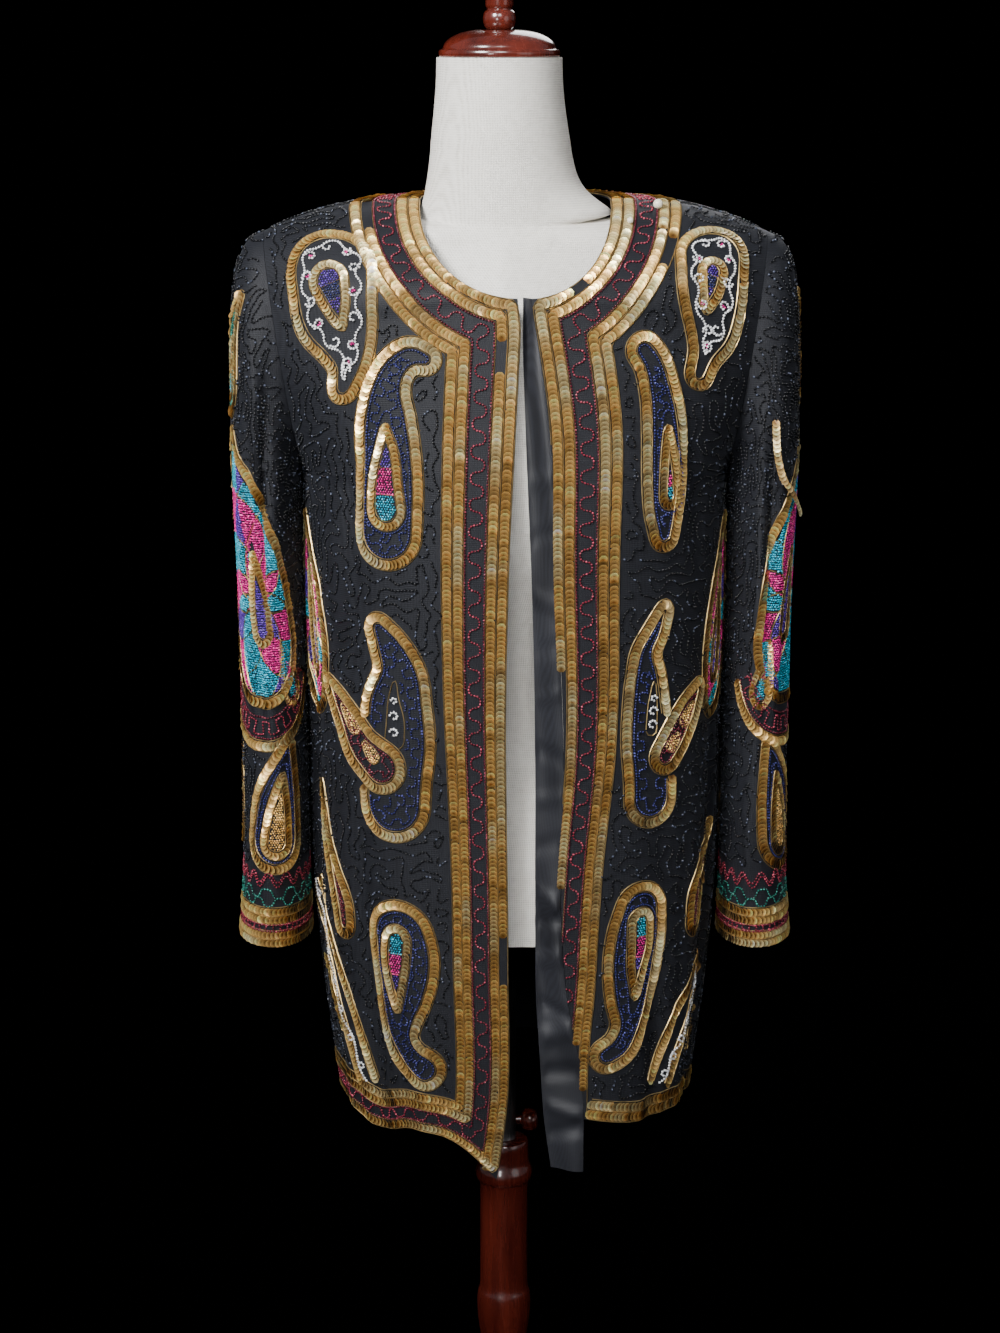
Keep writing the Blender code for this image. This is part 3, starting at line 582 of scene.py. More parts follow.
def makeWeaveGroup():
    # Crossed threads of a plain weave, with slubs, as a mask from 0 in the gaps to 1 on the threads
    kind = "NodeSocketFloat"
    inputs = [("Threads", kind, 900.0), ("Unevenness", kind, 0.3), ("Slubs", kind, 0.3)]
    group, given, result = newGroup("weave", inputs, [("Height", kind), ("Mottle", kind)])
    place = group.nodes.new("ShaderNodeNewGeometry").outputs["Position"]
    wobble = noiseNode(group, 60.0, at=place)
    parts = group.nodes.new("ShaderNodeSeparateXYZ")
    group.links.new(place, parts.inputs[0])
    shift = mathNode(group, "MULTIPLY", wobble.outputs[0], given.outputs["Unevenness"])
    shift = mathNode(group, "MULTIPLY", shift, 6.0)
    flat = mathNode(group, "ADD", parts.outputs[0], parts.outputs[1])
    waves = []
    for socket in (flat, parts.outputs[2]):
        turn = mathNode(group, "MULTIPLY", socket, given.outputs["Threads"])
        turn = mathNode(group, "ADD", turn, shift)
        wave = mathNode(group, "SINE", turn)
        waves.append(mathNode(group, "MULTIPLY", wave, 0.25))
    weave = mathNode(group, "ADD", waves[0], waves[1])
    weave = mathNode(group, "ADD", weave, 0.5)
    slub = noiseNode(group, 160.0, 3.0, place)
    bulge = mathNode(group, "MULTIPLY", slub.outputs[0], given.outputs["Slubs"])
    group.links.new(mathNode(group, "ADD", weave, bulge), result.inputs["Height"])
    group.links.new(noiseNode(group, 14.0, 5.0, place).outputs[0], result.inputs["Mottle"])
    return group


def makeGrainGroup():
    # Long streaks of wood grain along Z, with finer pores inside them
    group, given, result = newGroup(
        "wood_grain",
        [("Scale", "NodeSocketFloat", 26.0), ("Stretch", "NodeSocketFloat", 0.08)],
        [("Streaks", "NodeSocketFloat"), ("Pores", "NodeSocketFloat")],
    )
    place = group.nodes.new("ShaderNodeNewGeometry").outputs["Position"]
    parts = group.nodes.new("ShaderNodeSeparateXYZ")
    group.links.new(place, parts.inputs[0])
    long = group.nodes.new("ShaderNodeCombineXYZ")
    group.links.new(parts.outputs[0], long.inputs[0])
    group.links.new(parts.outputs[1], long.inputs[1])
    group.links.new(mathNode(group, "MULTIPLY", parts.outputs[2], given.outputs["Stretch"]), long.inputs[2])
    for label, factor in (("Streaks", 1.0), ("Pores", 9.0)):
        noise = noiseNode(group, 1.0, 6.0, long.outputs[0])
        noise.inputs["Roughness"].default_value = 0.65
        group.links.new(mathNode(group, "MULTIPLY", given.outputs["Scale"], factor), noise.inputs["Scale"])
        group.links.new(noise.outputs[0], result.inputs[label])
    return group


weaveGroup = makeWeaveGroup()
grainGroup = makeGrainGroup()


def placeGroup(tree, group, **values):
    node = tree.nodes.new("ShaderNodeGroup")
    node.node_tree = group
    setInputs(node, values)
    return node


def addBump(tree, shader, height, strength, distance):
    node = tree.nodes.new("ShaderNodeBump")
    node.inputs["Strength"].default_value = strength
    node.inputs["Distance"].default_value = distance
    tree.links.new(height, node.inputs["Height"])
    tree.links.new(node.outputs[0], shader.inputs["Normal"])


def clothMaterial(name, look):
    made, tree, shader = newMaterial(name)
    threads = {"Threads": look["threads"], "Unevenness": look["unevenness"], "Slubs": look["slubs"]}
    weave = placeGroup(tree, weaveGroup, **threads)
    colour = mixNode(tree, weave.outputs["Height"], look["gap"], look["thread"])
    # A soft mottle between the shade and light colours: random tone on the silk and linen, painted shade and
    # light of wrinkles on the satin
    tone = mixNode(tree, weave.outputs["Mottle"], look["shade"], look["light"])
    tree.links.new(mixNode(tree, 1.0, colour, tone, "MULTIPLY"), shader.inputs["Base Color"])
    rough = mathNode(tree, "MULTIPLY", weave.outputs["Mottle"], 0.16)
    tree.links.new(mathNode(tree, "ADD", rough, look["roughness"] - 0.08), shader.inputs["Roughness"])
    setInputs(shader, {
        "Sheen Weight": look["sheen"],
        "Sheen Roughness": look["sheenRoughness"],
        "Sheen Tint": (*look["sheenTint"], 1.0),
        "Specular IOR Level": look["specular"],
    })
    addBump(tree, shader, weave.outputs["Height"], look["bump"], look["bumpDepth"])
    return made


def woodMaterial(name, look):
    made, tree, shader = newMaterial(name)
    grain = placeGroup(tree, grainGroup, Scale=look["scale"], Stretch=look["stretch"])
    ramp = tree.nodes.new("ShaderNodeValToRGB")
    for stop, place, colour in zip(ramp.color_ramp.elements, (0.35, 0.68), (look["dark"], look["light"])):
        stop.position = place
        stop.color = (*colour, 1.0)
    tree.links.new(grain.outputs["Streaks"], ramp.inputs[0])
    pores = mixNode(tree, grain.outputs["Pores"], look["pore"], (1.0, 1.0, 1.0))
    tree.links.new(mixNode(tree, 0.7, ramp.outputs[0], pores, "MULTIPLY"), shader.inputs["Base Color"])
    rough = mathNode(tree, "MULTIPLY", grain.outputs["Pores"], 0.2)
    tree.links.new(mathNode(tree, "ADD", rough, look["roughness"]), shader.inputs["Roughness"])
    setInputs(shader, {"Coat Weight": look["coat"], "Coat Roughness": 0.06})
    addBump(tree, shader, grain.outputs["Pores"], 0.12, 0.0004)
    return made


def tintedMaterial(name, look):
    # Beads and sequins: each one carries its colour in the tint attribute, with painted light baked in: painted
    # glints, painted reflections and the painted shade of the sequins
    made, tree, shader = newMaterial(name)
    tint = tree.nodes.new("ShaderNodeAttribute")
    tint.attribute_name = "tint"
    speck = noiseNode(tree, look["speckScale"])
    shade = mixNode(tree, speck.outputs[0], look["shade"], look["light"])
    tree.links.new(mixNode(tree, 1.0, tint.outputs["Color"], shade, "MULTIPLY"), shader.inputs["Base Color"])
    rough = mathNode(tree, "MULTIPLY", speck.outputs[0], look["roughnessSpread"])
    tree.links.new(mathNode(tree, "ADD", rough, look["roughness"]), shader.inputs["Roughness"])
    setInputs(shader, {
        "Metallic": look["metallic"],
        "Coat Weight": look["coat"],
        "Coat Roughness": 0.05,
        "Specular IOR Level": look["specular"],
    })
    return made


finishes = {
    "silk": clothMaterial("beaded_silk_cloth", {
        "threads": 3600.0, "unevenness": 0.5, "slubs": 0.5,
        "gap": (0.007, 0.0075, 0.010), "thread": (0.0190, 0.0205, 0.0255),
        "shade": (0.52, 0.52, 0.555), "light": (0.83, 0.83, 0.865),
        "roughness": 0.62, "sheen": 0.07, "sheenRoughness": 0.4, "sheenTint": (0.7, 0.75, 0.9),
        "specular": 0.25, "bump": 0.35, "bumpDepth": 0.0004,
    }),
    # On the satin the strong dark and light mottle is painted shade and light that stand in for its wrinkles
    "satin": clothMaterial("lining_satin", {
        "threads": 5200.0, "unevenness": 0.2, "slubs": 0.2,
        "gap": (0.008, 0.0083, 0.0095), "thread": (0.019, 0.020, 0.024),
        "shade": (0.12, 0.12, 0.14), "light": (2.1, 2.1, 2.25),
        "roughness": 0.50, "sheen": 0.05, "sheenRoughness": 0.3, "sheenTint": (0.7, 0.75, 0.9),
        "specular": 0.45, "bump": 0.12, "bumpDepth": 0.0002,
    }),
    "linen": clothMaterial("linen_cover", {
        "threads": 3200.0, "unevenness": 0.9, "slubs": 0.8,
        "gap": (0.54, 0.51, 0.45), "thread": (0.92, 0.895, 0.84),
        "shade": (0.93, 0.92, 0.90), "light": (1.0, 1.0, 1.0),
        "roughness": 0.85, "sheen": 0.1, "sheenRoughness": 0.5, "sheenTint": (1.0, 1.0, 1.0),
        "specular": 0.2, "bump": 0.5, "bumpDepth": 0.0005,
    }),
    "mahogany": woodMaterial("lacquered_mahogany", {
        "scale": 26.0, "stretch": 0.08,
        "dark": (0.045, 0.006, 0.004), "light": (0.175, 0.026, 0.014), "pore": (0.45, 0.35, 0.3),
        "roughness": 0.16, "coat": 0.9,
    }),
    "sequins": tintedMaterial("gold_sequins", {
        "speckScale": 900.0, "shade": (0.72, 0.70, 0.66), "light": (1.15, 1.15, 1.15),
        "roughness": 0.16, "roughnessSpread": 0.26, "metallic": 0.55, "coat": 0.2, "specular": 0.5,
    }),
    "cord": tintedMaterial("gold_thread", {
        "speckScale": 1500.0, "shade": (0.5, 0.48, 0.45), "light": (1.2, 1.2, 1.2),
        "roughness": 0.3, "roughnessSpread": 0.3, "metallic": 0.9, "coat": 0.0, "specular": 0.5,
    }),
    "beads": tintedMaterial("glass_beads", {
        "speckScale": 1200.0, "shade": (0.75, 0.75, 0.75), "light": (1.2, 1.2, 1.2),
        "roughness": 0.12, "roughnessSpread": 0.15, "metallic": 0.0, "coat": 0.15, "specular": 0.5,
    }),
}


def steelMaterial():
    made, tree, shader = newMaterial("dull_steel")
    grain = placeGroup(tree, grainGroup, Scale=220.0, Stretch=0.04)
    colour = mixNode(tree, grain.outputs["Streaks"], (0.16, 0.15, 0.15), (0.34, 0.33, 0.33))
    tree.links.new(colour, shader.inputs["Base Color"])
    tree.links.new(mathNode(tree, "MULTIPLY", grain.outputs["Pores"], 0.7), shader.inputs["Roughness"])
    shader.inputs["Metallic"].default_value = 1.0
    return made


finishes["steel"] = steelMaterial()
print("materials made:", len(finishes))


# Meshes from arrays

def addObject(name, data, finish=None):
    if finish:
        data.materials.append(finishes[finish])
    made = bpy.data.objects.new(name, data)
    scene.collection.objects.link(made)
    return made


def meshObject(name, points, faces, finish, smooth=True, tints=None):
    mesh = bpy.data.meshes.new(name)
    points = np.asarray(points, np.float32)
    faces = np.asarray(faces, np.int32)
    mesh.vertices.add(len(points))
    mesh.vertices.foreach_set("co", points.ravel())
    mesh.loops.add(faces.size)
    mesh.loops.foreach_set("vertex_index", faces.ravel())
    mesh.polygons.add(len(faces))
    mesh.polygons.foreach_set("loop_start", np.arange(0, faces.size, faces.shape[1], dtype=np.int32))
    mesh.update(calc_edges=True)
    mesh.validate()
    mesh.polygons.foreach_set("use_smooth", np.full(len(mesh.polygons), smooth))
    if tints is not None:
        colours = np.column_stack([tints, np.ones(len(tints))]).astype(np.float32)
        mesh.attributes.new("tint", "FLOAT_COLOR", "POINT").data.foreach_set("color", colours.ravel())
    return addObject(name, mesh, finish)


def faceOutward(made):
    shell = bmesh.new()
    shell.from_mesh(made.data)
    bmesh.ops.recalc_face_normals(shell, faces=shell.faces)
    shell.to_mesh(made.data)
    shell.free()


def shellFaces(rows, cells, closed):
    numbers = np.arange(rows * cells).reshape(rows, cells)
    inside = numbers + rows * cells
    if closed:
        numbers = np.column_stack([numbers, numbers[:, 0]])
        inside = np.column_stack([inside, inside[:, 0]])
    quads = [gridQuads(numbers), gridQuads(inside)[:, ::-1]]
    quads += [rimQuads(numbers[row], inside[row]) for row in (0, -1)]
    if not closed:
        quads += [rimQuads(numbers[:, column], inside[:, column]) for column in (0, -1)]
    return np.concatenate(quads)


def thinShell(name, points, normals, wall, faces, finish):
    # Cloth with two faces. The points of its inner face are numbered after the outer ones.
    made = meshObject(name, np.concatenate([points, points - normals * wall]), faces, finish)
    faceOutward(made)
    made.data.set_sharp_from_angle(angle=math.radians(50))
    return made


def clothShell(name, points, normals, wall, finish, closed=False):
    # A grid of points as cloth, its edges closed
    if closed:
        points, normals = points[:, :-1], normals[:, :-1]
    faces = shellFaces(*points.shape[:2], closed)
    return thinShell(name, points.reshape(-1, 3), normals.reshape(-1, 3), wall, faces, finish)


def makeCloth():
    wall = jacketCut["clothWall"]
    for name, flatSize, flatArea in (
        ("front_right", (0.30, 0.86), 0.215),
        ("front_left", (0.28, 0.84), 0.190),
    ):
        panel = panels[name]
        piece = clothShell(name + "_silk", panel["points"], panel["normals"], wall, "silk")
        keepPiece(piece, "beaded_silk", name)
    left, right = panels["back_left"], panels["back_right"]
    points = np.concatenate([right["points"][:, :0:-1], left["points"]], axis=1)
    normals = np.concatenate([right["normals"][:, :0:-1], left["normals"]], axis=1)
    piece = backShell(points, normals, wall)
    keepPiece(piece, "beaded_silk", "back")
    for name in ("sleeve_right", "sleeve_left"):
        panel = panels[name]
        points, normals = panel["points"], panel["normals"]
        piece = clothShell(name + "_silk", points, normals, wall, "silk", closed=True)
        keepPiece(piece, "beaded_silk", name)


def backShell(points, normals, wall):
    # The halves of the back lie on each other's centre line, up to the neckline
    middle = points.shape[1] // 2
    normals[:, middle, 0] = 0.0
    normals[:, middle] = unit(normals[:, middle])
    corner = cornerRow("backCorner")
    rows, cells = points.shape[:2]
    # Above the corner the neckline parts the halves, so each half keeps its own edge column
    right = panels["back_right"]
    allPoints = np.concatenate([points.reshape(-1, 3), right["points"][corner + 1 :, 0]])
    allNormals = np.concatenate([normals.reshape(-1, 3), right["normals"][corner + 1 :, 0]])
    numbers = np.arange(rows * cells).reshape(rows, cells)
    leftHalf = numbers[:, middle:]
    rightHalf = numbers[:, : middle + 1].copy()
    rightHalf[corner + 1 :, middle] = rows * cells + np.arange(rows - corner - 1)
    count = len(allPoints)
    quads = []
    rims = []
    for half in (rightHalf, leftHalf):
        quads += [gridQuads(half), gridQuads(half)[:, ::-1] + count]
        rims += [half[0], half[-1]]
    rims += [rightHalf[:, 0], leftHalf[:, -1], rightHalf[corner:, -1], leftHalf[corner:, 0]]
    quads += [rimQuads(rim, rim + count) for rim in rims]
    return thinShell("back_silk", allPoints, allNormals, wall, np.concatenate(quads), "silk")


def keepPiece(piece, slotName, *nodes):
    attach(piece, "root")
    if nodes:
        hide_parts(*nodes)


makeCloth()
print("cloth made")


# Facing: height, free edge, sewn edge
facingCut = np.array([
    (0.553, 0.0315, 0.0600),
    (0.602, 0.0250, 0.0600),
    (0.640, 0.0225, 0.0580),
    (0.708, 0.0185, 0.0455),
    (0.800, 0.0172, 0.0390),
    (0.922, 0.0170, 0.0410),
    (1.060, 0.0140, 0.0355),
    (1.195, 0.0085, 0.0285),
    (1.262, 0.0062, 0.0205),
    (1.310, 0.0060, 0.0125),
])
facingSettings = {
    "rows": 190,
    "cells": 14,
    "wall": 0.0009,
    "setBack": 0.0100,
    "seat": 0.0006,
    "rippleDepth": 0.0015,
    # The pulls grow by this share, from none at the upper height to all at the lower one
    "deeperBy": 0.9,
    "deeperBelow": (0.70, 0.95),
    # height, strength, slant and length of each small pull in the satin
    "pulls": (
        (0.585, 0.0016, 0.5, 0.012), (0.612, -0.0014, -0.4, 0.010), (0.640, 0.0013, 0.3, 0.012),
        (0.672, -0.0017, 0.6, 0.014), (0.705, 0.0012, -0.5, 0.010), (0.742, -0.0013, 0.4, 0.013),
        (0.778, 0.0014, 0.2, 0.010), (0.806, -0.0016, -0.6, 0.012), (0.842, 0.0013, 0.5, 0.013),
        (0.884, -0.0012, 0.3, 0.011), (0.930, 0.0013, -0.4, 0.012), (0.972, -0.0014, 0.5, 0.010),
        (1.015, 0.0011, 0.4, 0.012), (1.062, -0.0012, -0.3, 0.013), (1.110, 0.0010, 0.5, 0.010),
        (1.158, -0.0010, 0.3, 0.012),
    ),
}


def makeFacing():
    # The satin strip that falls out of the opening, puckered where it is sewn on
    given = facingSettings
    heights = np.linspace(facingCut[0, 0], facingCut[-1, 0], given["rows"])
    share = np.linspace(0, 1, given["cells"] + 1)[None, :]
    edges = through(facingCut, heights)
    free = edges[:, :1]
    sewn = through(leftFrontEdge, heights) - jacketCut["seamGap"]
    depth = -through(bodySections[:, (0, 2)], heights)
    away = share * (1 - share) * 4
    back = given["seat"] + given["setBack"] * np.sin(0.5 * np.pi * (1 - share)) ** 2
    rows = heights[:, None]
    crease = given["rippleDepth"] * np.sin(9 * np.pi * rows + 2.2 * share) * away
    for middle, strength, slant, reach in given["pulls"]:
        pull = strength * bump(rows - middle - slant * 0.02 * share, reach)
        crease = crease + pull * softStep(0.0, 0.2, share) * (1 - softStep(0.88, 1.0, share))
    crease = crease * (1 + given["deeperBy"] * (1 - softStep(*given["deeperBelow"], rows)))
    across = free + (sewn - free) * share
    points = np.stack([jacketCut["centre"] + across, depth + back + crease, rows + 0 * share], axis=2)
    normals = gridNormals(points)
    if normals[0, 0, 1] > 0:
        normals = -normals
    piece = clothShell("facing_left_satin", points, normals, given["wall"], "satin")
    keepPiece(piece, "satin", "facing_left")


makeFacing()

# The padded form under the jacket: height, half width, front depth, back depth
formSections = np.array([
    (0.740, 0.1560, 0.108, 0.092),
    (0.840, 0.1600, 0.104, 0.094),
    (0.940, 0.1420, 0.088, 0.078),
    (1.010, 0.1400, 0.090, 0.076),
    (1.100, 0.1560, 0.110, 0.086),
    (1.170, 0.1640, 0.116, 0.094),
    (1.250, 0.1640, 0.106, 0.094),
    (1.310, 0.1640, 0.086, 0.082),
    (1.340, 0.1640, 0.067, 0.066),
    (1.364, 0.1640, 0.0535, 0.0530),
])
formSettings = {
    "bottom": 0.750,
    "shoulder": (0.182, 1.3650),
    "underarm": (0.1640, 1.185),
    "armDepth": 0.030,
    "neckPoint": (0.0710, 1.3700),
    "neckFlareRate": 1.15,
    # left reach, right reach, height, spread
    "neckSideFlare": (0.0300, 0.0030, 1.368, 0.018),
    "neckFront": 1.364,
    "dropCurve": 1.6,
    "neckRadius": 0.0555,
    "neckTop": 1.503,
    "neckLean": -0.004,
    "neckRings": 24,
    # The first rings of the neck lie closer together
    "neckRingPower": 1.6,
    "neckShrink": 0.0022,
    "sideFlarePower": 6,
    "softNeck": (1.352, 1.43),
    "softTurns": 8,
    "finer": 3,
}


def makeForm():
    # Linen over padding: front and back halves, flat arm plates, a flat base and a neck
    given = formSettings
    body = bmesh.new()
    grids = {}
    bottomRow = np.array([(0.0, given["bottom"]), (1.0, given["bottom"])])
    for facing in (-1, 1):
        half = halfPanel({
            "edge": centreLine, "hem": bottomRow, "sections": formSections, "facing": facing,
            "armhole": (given["shoulder"], given["underarm"], given["armDepth"]),
            "corner": jacketCut["frontCorner"], "cornerHeight": given["neckFront"],
            "level": jacketCut["frontLevel"], "neckPoint": given["neckPoint"], "neckForward": 1.0,
            "dropCurve": given["dropCurve"], "finerRows": given["finer"], "finerCells": given["finer"],
        })
        for side in (1, -1):
            grid = [[body.verts.new((side * p[0], p[1], p[2])) for p in row] for row in half]
            grids[facing, side] = grid
            for low, high in zip(grid, grid[1:]):
                for a, b, c, d in zip(low, low[1:], high[1:], high):
                    body.faces.new((a, b, c, d))
    lower = jacketCut["lowerRows"] * given["finer"]
    corner = lower + jacketCut["frontCorner"] * given["finer"]

    def column(facing, side, place):
        return [row[place].co.copy() for row in grids[facing, side]]

    loop = column(-1, -1, 0)[corner:] + column(1, -1, 0)[corner:-1][::-1]
    loop += column(1, 1, 0)[corner + 1 :] + column(-1, 1, 0)[corner + 1 : -1][::-1]
    addNeck(body, loop)
    for side in (1, -1):
        plate = column(-1, side, -1)[lower:] + column(1, side, -1)[lower + 1 : -1][::-1]
        body.faces.new([body.verts.new(point) for point in plate])
    rows = {key: [vert.co.copy() for vert in grid[0]] for key, grid in grids.items()}
    bottom = rows[-1, 1] + rows[1, 1][:-1][::-1] + rows[1, -1][1:] + rows[-1, -1][1:-1][::-1]
    body.faces.new([body.verts.new(point) for point in bottom])
    bmesh.ops.remove_doubles(body, verts=body.verts, dist=0.00002)
    low, high = given["softNeck"]
    soft = [vert for vert in body.verts if low < vert.co.z < high]
    for _ in range(given["softTurns"]):
        bmesh.ops.smooth_vert(body, verts=soft, factor=0.5, use_axis_x=True, use_axis_y=True, use_axis_z=True)
    bmesh.ops.recalc_face_normals(body, faces=body.faces)
    mesh = bpy.data.meshes.new("form_linen")
    body.to_mesh(mesh)
    body.free()
    piece = addObject("form_linen", mesh, "linen")
    mesh.shade_smooth()
    mesh.set_sharp_from_angle(angle=math.radians(50))
    keepPiece(piece, "linen", "form_torso")


def addNeck(body, loop):
    # Rings that rise from the neckline of the torso and draw in to the round neck
    given = formSettings
    leftReach, rightReach, middle, spread = given["neckSideFlare"]
    previous = [body.verts.new(point) for point in loop]
    for ring in range(1, given["neckRings"] + 1):
        share = (ring / given["neckRings"]) ** given["neckRingPower"]
        roundOff = math.sin(0.5 * math.pi * min(share * given["neckFlareRate"], 1.0))
        current = []
        for point in loop:
            angle = angleOf(point)
            wide = math.hypot(point[0], point[1])
            shrink = given["neckShrink"] * softStep(0.5, 1.0, share)
            radius = wide + (given["neckRadius"] - wide) * roundOff - shrink
            height = point[2] + (given["neckTop"] - point[2]) * share
            reach = leftReach if math.cos(angle) > 0 else rightReach
            flare = abs(math.cos(angle)) ** given["sideFlarePower"]
            radius += reach * flare * math.exp(-(((height - middle) / spread) ** 2))
            across = given["neckLean"] * roundOff + radius * math.cos(angle)
            current.append(body.verts.new((across, radius * math.sin(angle), height)))
        for place in range(len(loop)):
            after = (place + 1) % len(loop)
            body.faces.new((previous[place], previous[after], current[after], current[place]))
        previous = current
    body.faces.new(previous)


makeForm()
print("form made")

# Turned wood and steel. Profiles run from the top down: radius, height.
standSettings = {
    "gap": 0.0003,
    "capRadius": 0.0515,
    "capHeight": 0.0225,
    "capSeat": 0.0142,
    "rodRadius": 0.011,
    "poleTop": 0.530,
    "knobHeight": 0.548,
    "steps": 96,
    "finial": (
        (0.0085, 0.0750), (0.0110, 0.0740), (0.0119, 0.0720), (0.0120, 0.0690), (0.0118, 0.0450),
        (0.0120, 0.0200), (0.0116, 0.0182), (0.0106, 0.0168), (0.0106, 0.0158), (0.0122, 0.0150),
        (0.0134, 0.0128), (0.0140, 0.0095), (0.0138, 0.0058), (0.0128, 0.0026), (0.0116, 0.0010),
        (0.0105, 0.0000),
    ),
    "pole": (
        (0.0195, 0.5300), (0.0215, 0.5293), (0.0225, 0.5275), (0.0226, 0.5220), (0.0227, 0.5130),
        (0.0231, 0.5085), (0.0243, 0.5050), (0.0256, 0.5020), (0.0262, 0.4985), (0.0262, 0.4955),
        (0.0254, 0.4925), (0.0240, 0.4905), (0.0228, 0.4895), (0.0222, 0.4870), (0.0220, 0.4750),
        (0.0220, 0.4300), (0.0221, 0.3900), (0.0223, 0.3845), (0.0235, 0.3815), (0.0245, 0.3770),
        (0.0250, 0.3700), (0.0249, 0.3610), (0.0243, 0.3530), (0.0230, 0.3440), (0.0214, 0.3340),
        (0.0198, 0.3180), (0.0187, 0.2950), (0.0185, 0.2700), (0.0189, 0.2300), (0.0196, 0.1800),
        (0.0203, 0.1200), (0.0212, 0.0820), (0.0230, 0.0650), (0.0262, 0.0530), (0.0297, 0.0450),
        (0.0314, 0.0380), (0.0320, 0.0323),
    ),
    "base": (
        (0.0600, 0.0320), (0.0700, 0.0313), (0.0950, 0.0292), (0.1220, 0.0272), (0.1290, 0.0260),
        (0.1330, 0.0236), (0.1375, 0.0222), (0.1440, 0.0212), (0.1540, 0.0190), (0.1610, 0.0172),
        (0.1665, 0.0150), (0.1695, 0.0115), (0.1700, 0.0080), (0.1700, 0.0030), (0.1690, 0.0010),
        (0.1670, 0.0000),
    ),
    "knob": (
        (0.0030, 0.0200), (0.0060, 0.0196), (0.0083, 0.0183), (0.0099, 0.0162), (0.0106, 0.0135),
        (0.0105, 0.0108), (0.0096, 0.0082), (0.0080, 0.0062), (0.0056, 0.0050), (0.0042, 0.0044),
        (0.0042, 0.0000),
    ),
}


def turnedPiece(name, profile, finish, at, node, slotName, alongX=False):
    outline = [(0.0, profile[0][1]), *profile, (0.0, profile[-1][1])]
    edges = [(i, i + 1) for i in range(len(outline) - 1)]
    mesh = bpy.data.meshes.new(name)
    mesh.from_pydata([(r, 0.0, z) for r, z in outline], edges, [])
    piece = addObject(name, mesh, finish)
    piece.location = at
    if alongX:
        piece.rotation_euler = (0.0, math.pi / 2, 0.0)
    turn = piece.modifiers.new("turn", "SCREW")
    turn.steps = standSettings["steps"]
    turn.render_steps = standSettings["steps"]
    turn.use_merge_vertices = True
    turn.merge_threshold = 0.00002
    bpy.context.view_layer.update()
    graph = bpy.context.evaluated_depsgraph_get()
    made = bpy.data.meshes.new_from_object(piece.evaluated_get(graph))
    piece.modifiers.clear()
    piece.data = made
    made.shade_smooth()
    made.set_sharp_from_angle(angle=math.radians(35))
    keepPiece(piece, slotName, node)


def capProfile():
    # A domed disk: a flat seat on top, a quarter round, and a rounded rim
    height, radius, seat = (standSettings[key] for key in ("capHeight", "capRadius", "capSeat"))
    rim = height * 0.28
    angles = np.linspace(0, 0.5 * math.pi, 22)[1:-1]
    reach = radius - 0.0035 - seat
    dome = [(seat + reach * math.sin(a), rim + (height - rim) * math.cos(a)) for a in angles]
    drops = ((0.0026, 1.0), (0.0008, 0.93), (0.0, 0.7), (0.0, 0.25), (0.0006, 0.06), (0.0015, 0.0))
    return [(seat, height), *dome, *((radius - inward, rim * share) for inward, share in drops)]


def makeStand():
    given = standSettings
    lean, gap, radius = formSettings["neckLean"], given["gap"], given["rodRadius"]
    capAt = formSettings["neckTop"] + gap
    finialAt = capAt + given["capHeight"] + gap
    length = formSettings["bottom"] - given["poleTop"] - 2 * gap
    bevel = 0.0005
    rod = ((radius - bevel, length), (radius, length - bevel), (radius, bevel), (radius - bevel, 0.0))
    turnedPiece("neck_cap_wood", capProfile(), "mahogany", (lean, 0.0, capAt), "neck_cap", "mahogany")
    turnedPiece("finial_wood", given["finial"], "mahogany", (lean, 0.0, finialAt), "finial", "mahogany")
    turnedPiece("rod_steel", rod, "steel", (0.0, 0.0, given["poleTop"] + gap), "rod", "steel")
    knobAt = (radius + gap, 0.0, given["knobHeight"])
    turnedPiece("clamp_knob_wood", given["knob"], "mahogany", knobAt, "clamp_knob", "mahogany", True)
    for node in ("pole", "base"):
        turnedPiece(node + "_wood", given[node], "mahogany", (0.0, 0.0, 0.0), node, "mahogany")


makeStand()
print("stand made")

# Paths on the flat pattern

embroiderySettings = {
    "sequinRadius": 0.0043,
    "sequinSpacing": 0.0036,
    "sequinTilt": 19.0,
    "sequinSides": 8,
    "sequinLift": 0.0013,
    "cordRadius": 0.00055,
    "cordSpacing": 0.0042,
    "cordLift": 0.0007,
    "rowHalf": 0.0049,
    "groundBead": (0.00155, 0.00125),
    "groundSpacing": 0.0031,
    "groundPitch": 0.0079,
    "smallBead": (0.0013, 0.00120),
    "smallSpacing": 0.0026,
    "scrollBead": (0.0015, 0.00150),
    "scrollSpacing": 0.0026,
    "fillPitch": 0.0024,
    # Share of the beads and sequins of each kind that get a painted glint
    "groundGlint": 0.13,
    "colourGlint": 0.15,
    "fillGlint": 0.12,
    "sequinGlint": 0.07,
    "warpReach": 0.0020,
}
tints = {
    "gold": (0.95, 0.59, 0.19),
    # Painted reflection: the gold of the stretches that stand in for light reflected off the sequins
    "reflectedGold": (1.0, 0.80, 0.40),
    "brownGold": (0.62, 0.35, 0.10),
    "thread": (0.80, 0.58, 0.26),
    "ground": (0.003, 0.0034, 0.005),
    # Painted glint: the colour given to ground beads that stand in for a glint
    "groundGlintBlue": (0.06, 0.07, 0.10),
    "navy": (0.020, 0.022, 0.105),
    "red": (0.20, 0.020, 0.038),
    "maroon": (0.11, 0.010, 0.022),
    "white": (0.86, 0.86, 0.88),
    "turquoise": (0.012, 0.33, 0.46),
    "magenta": (0.62, 0.015, 0.22),
    "purple": (0.085, 0.03, 0.30),
    "green": (0.015, 0.13, 0.10),
    "pearl": (0.90, 0.84, 0.68),
}
draw = random.Random(4)
noiseDraw = np.random.default_rng(7)
stitches = {name: {"sequins": [], "cord": [], "ground": [], "beads": []} for name in panels}


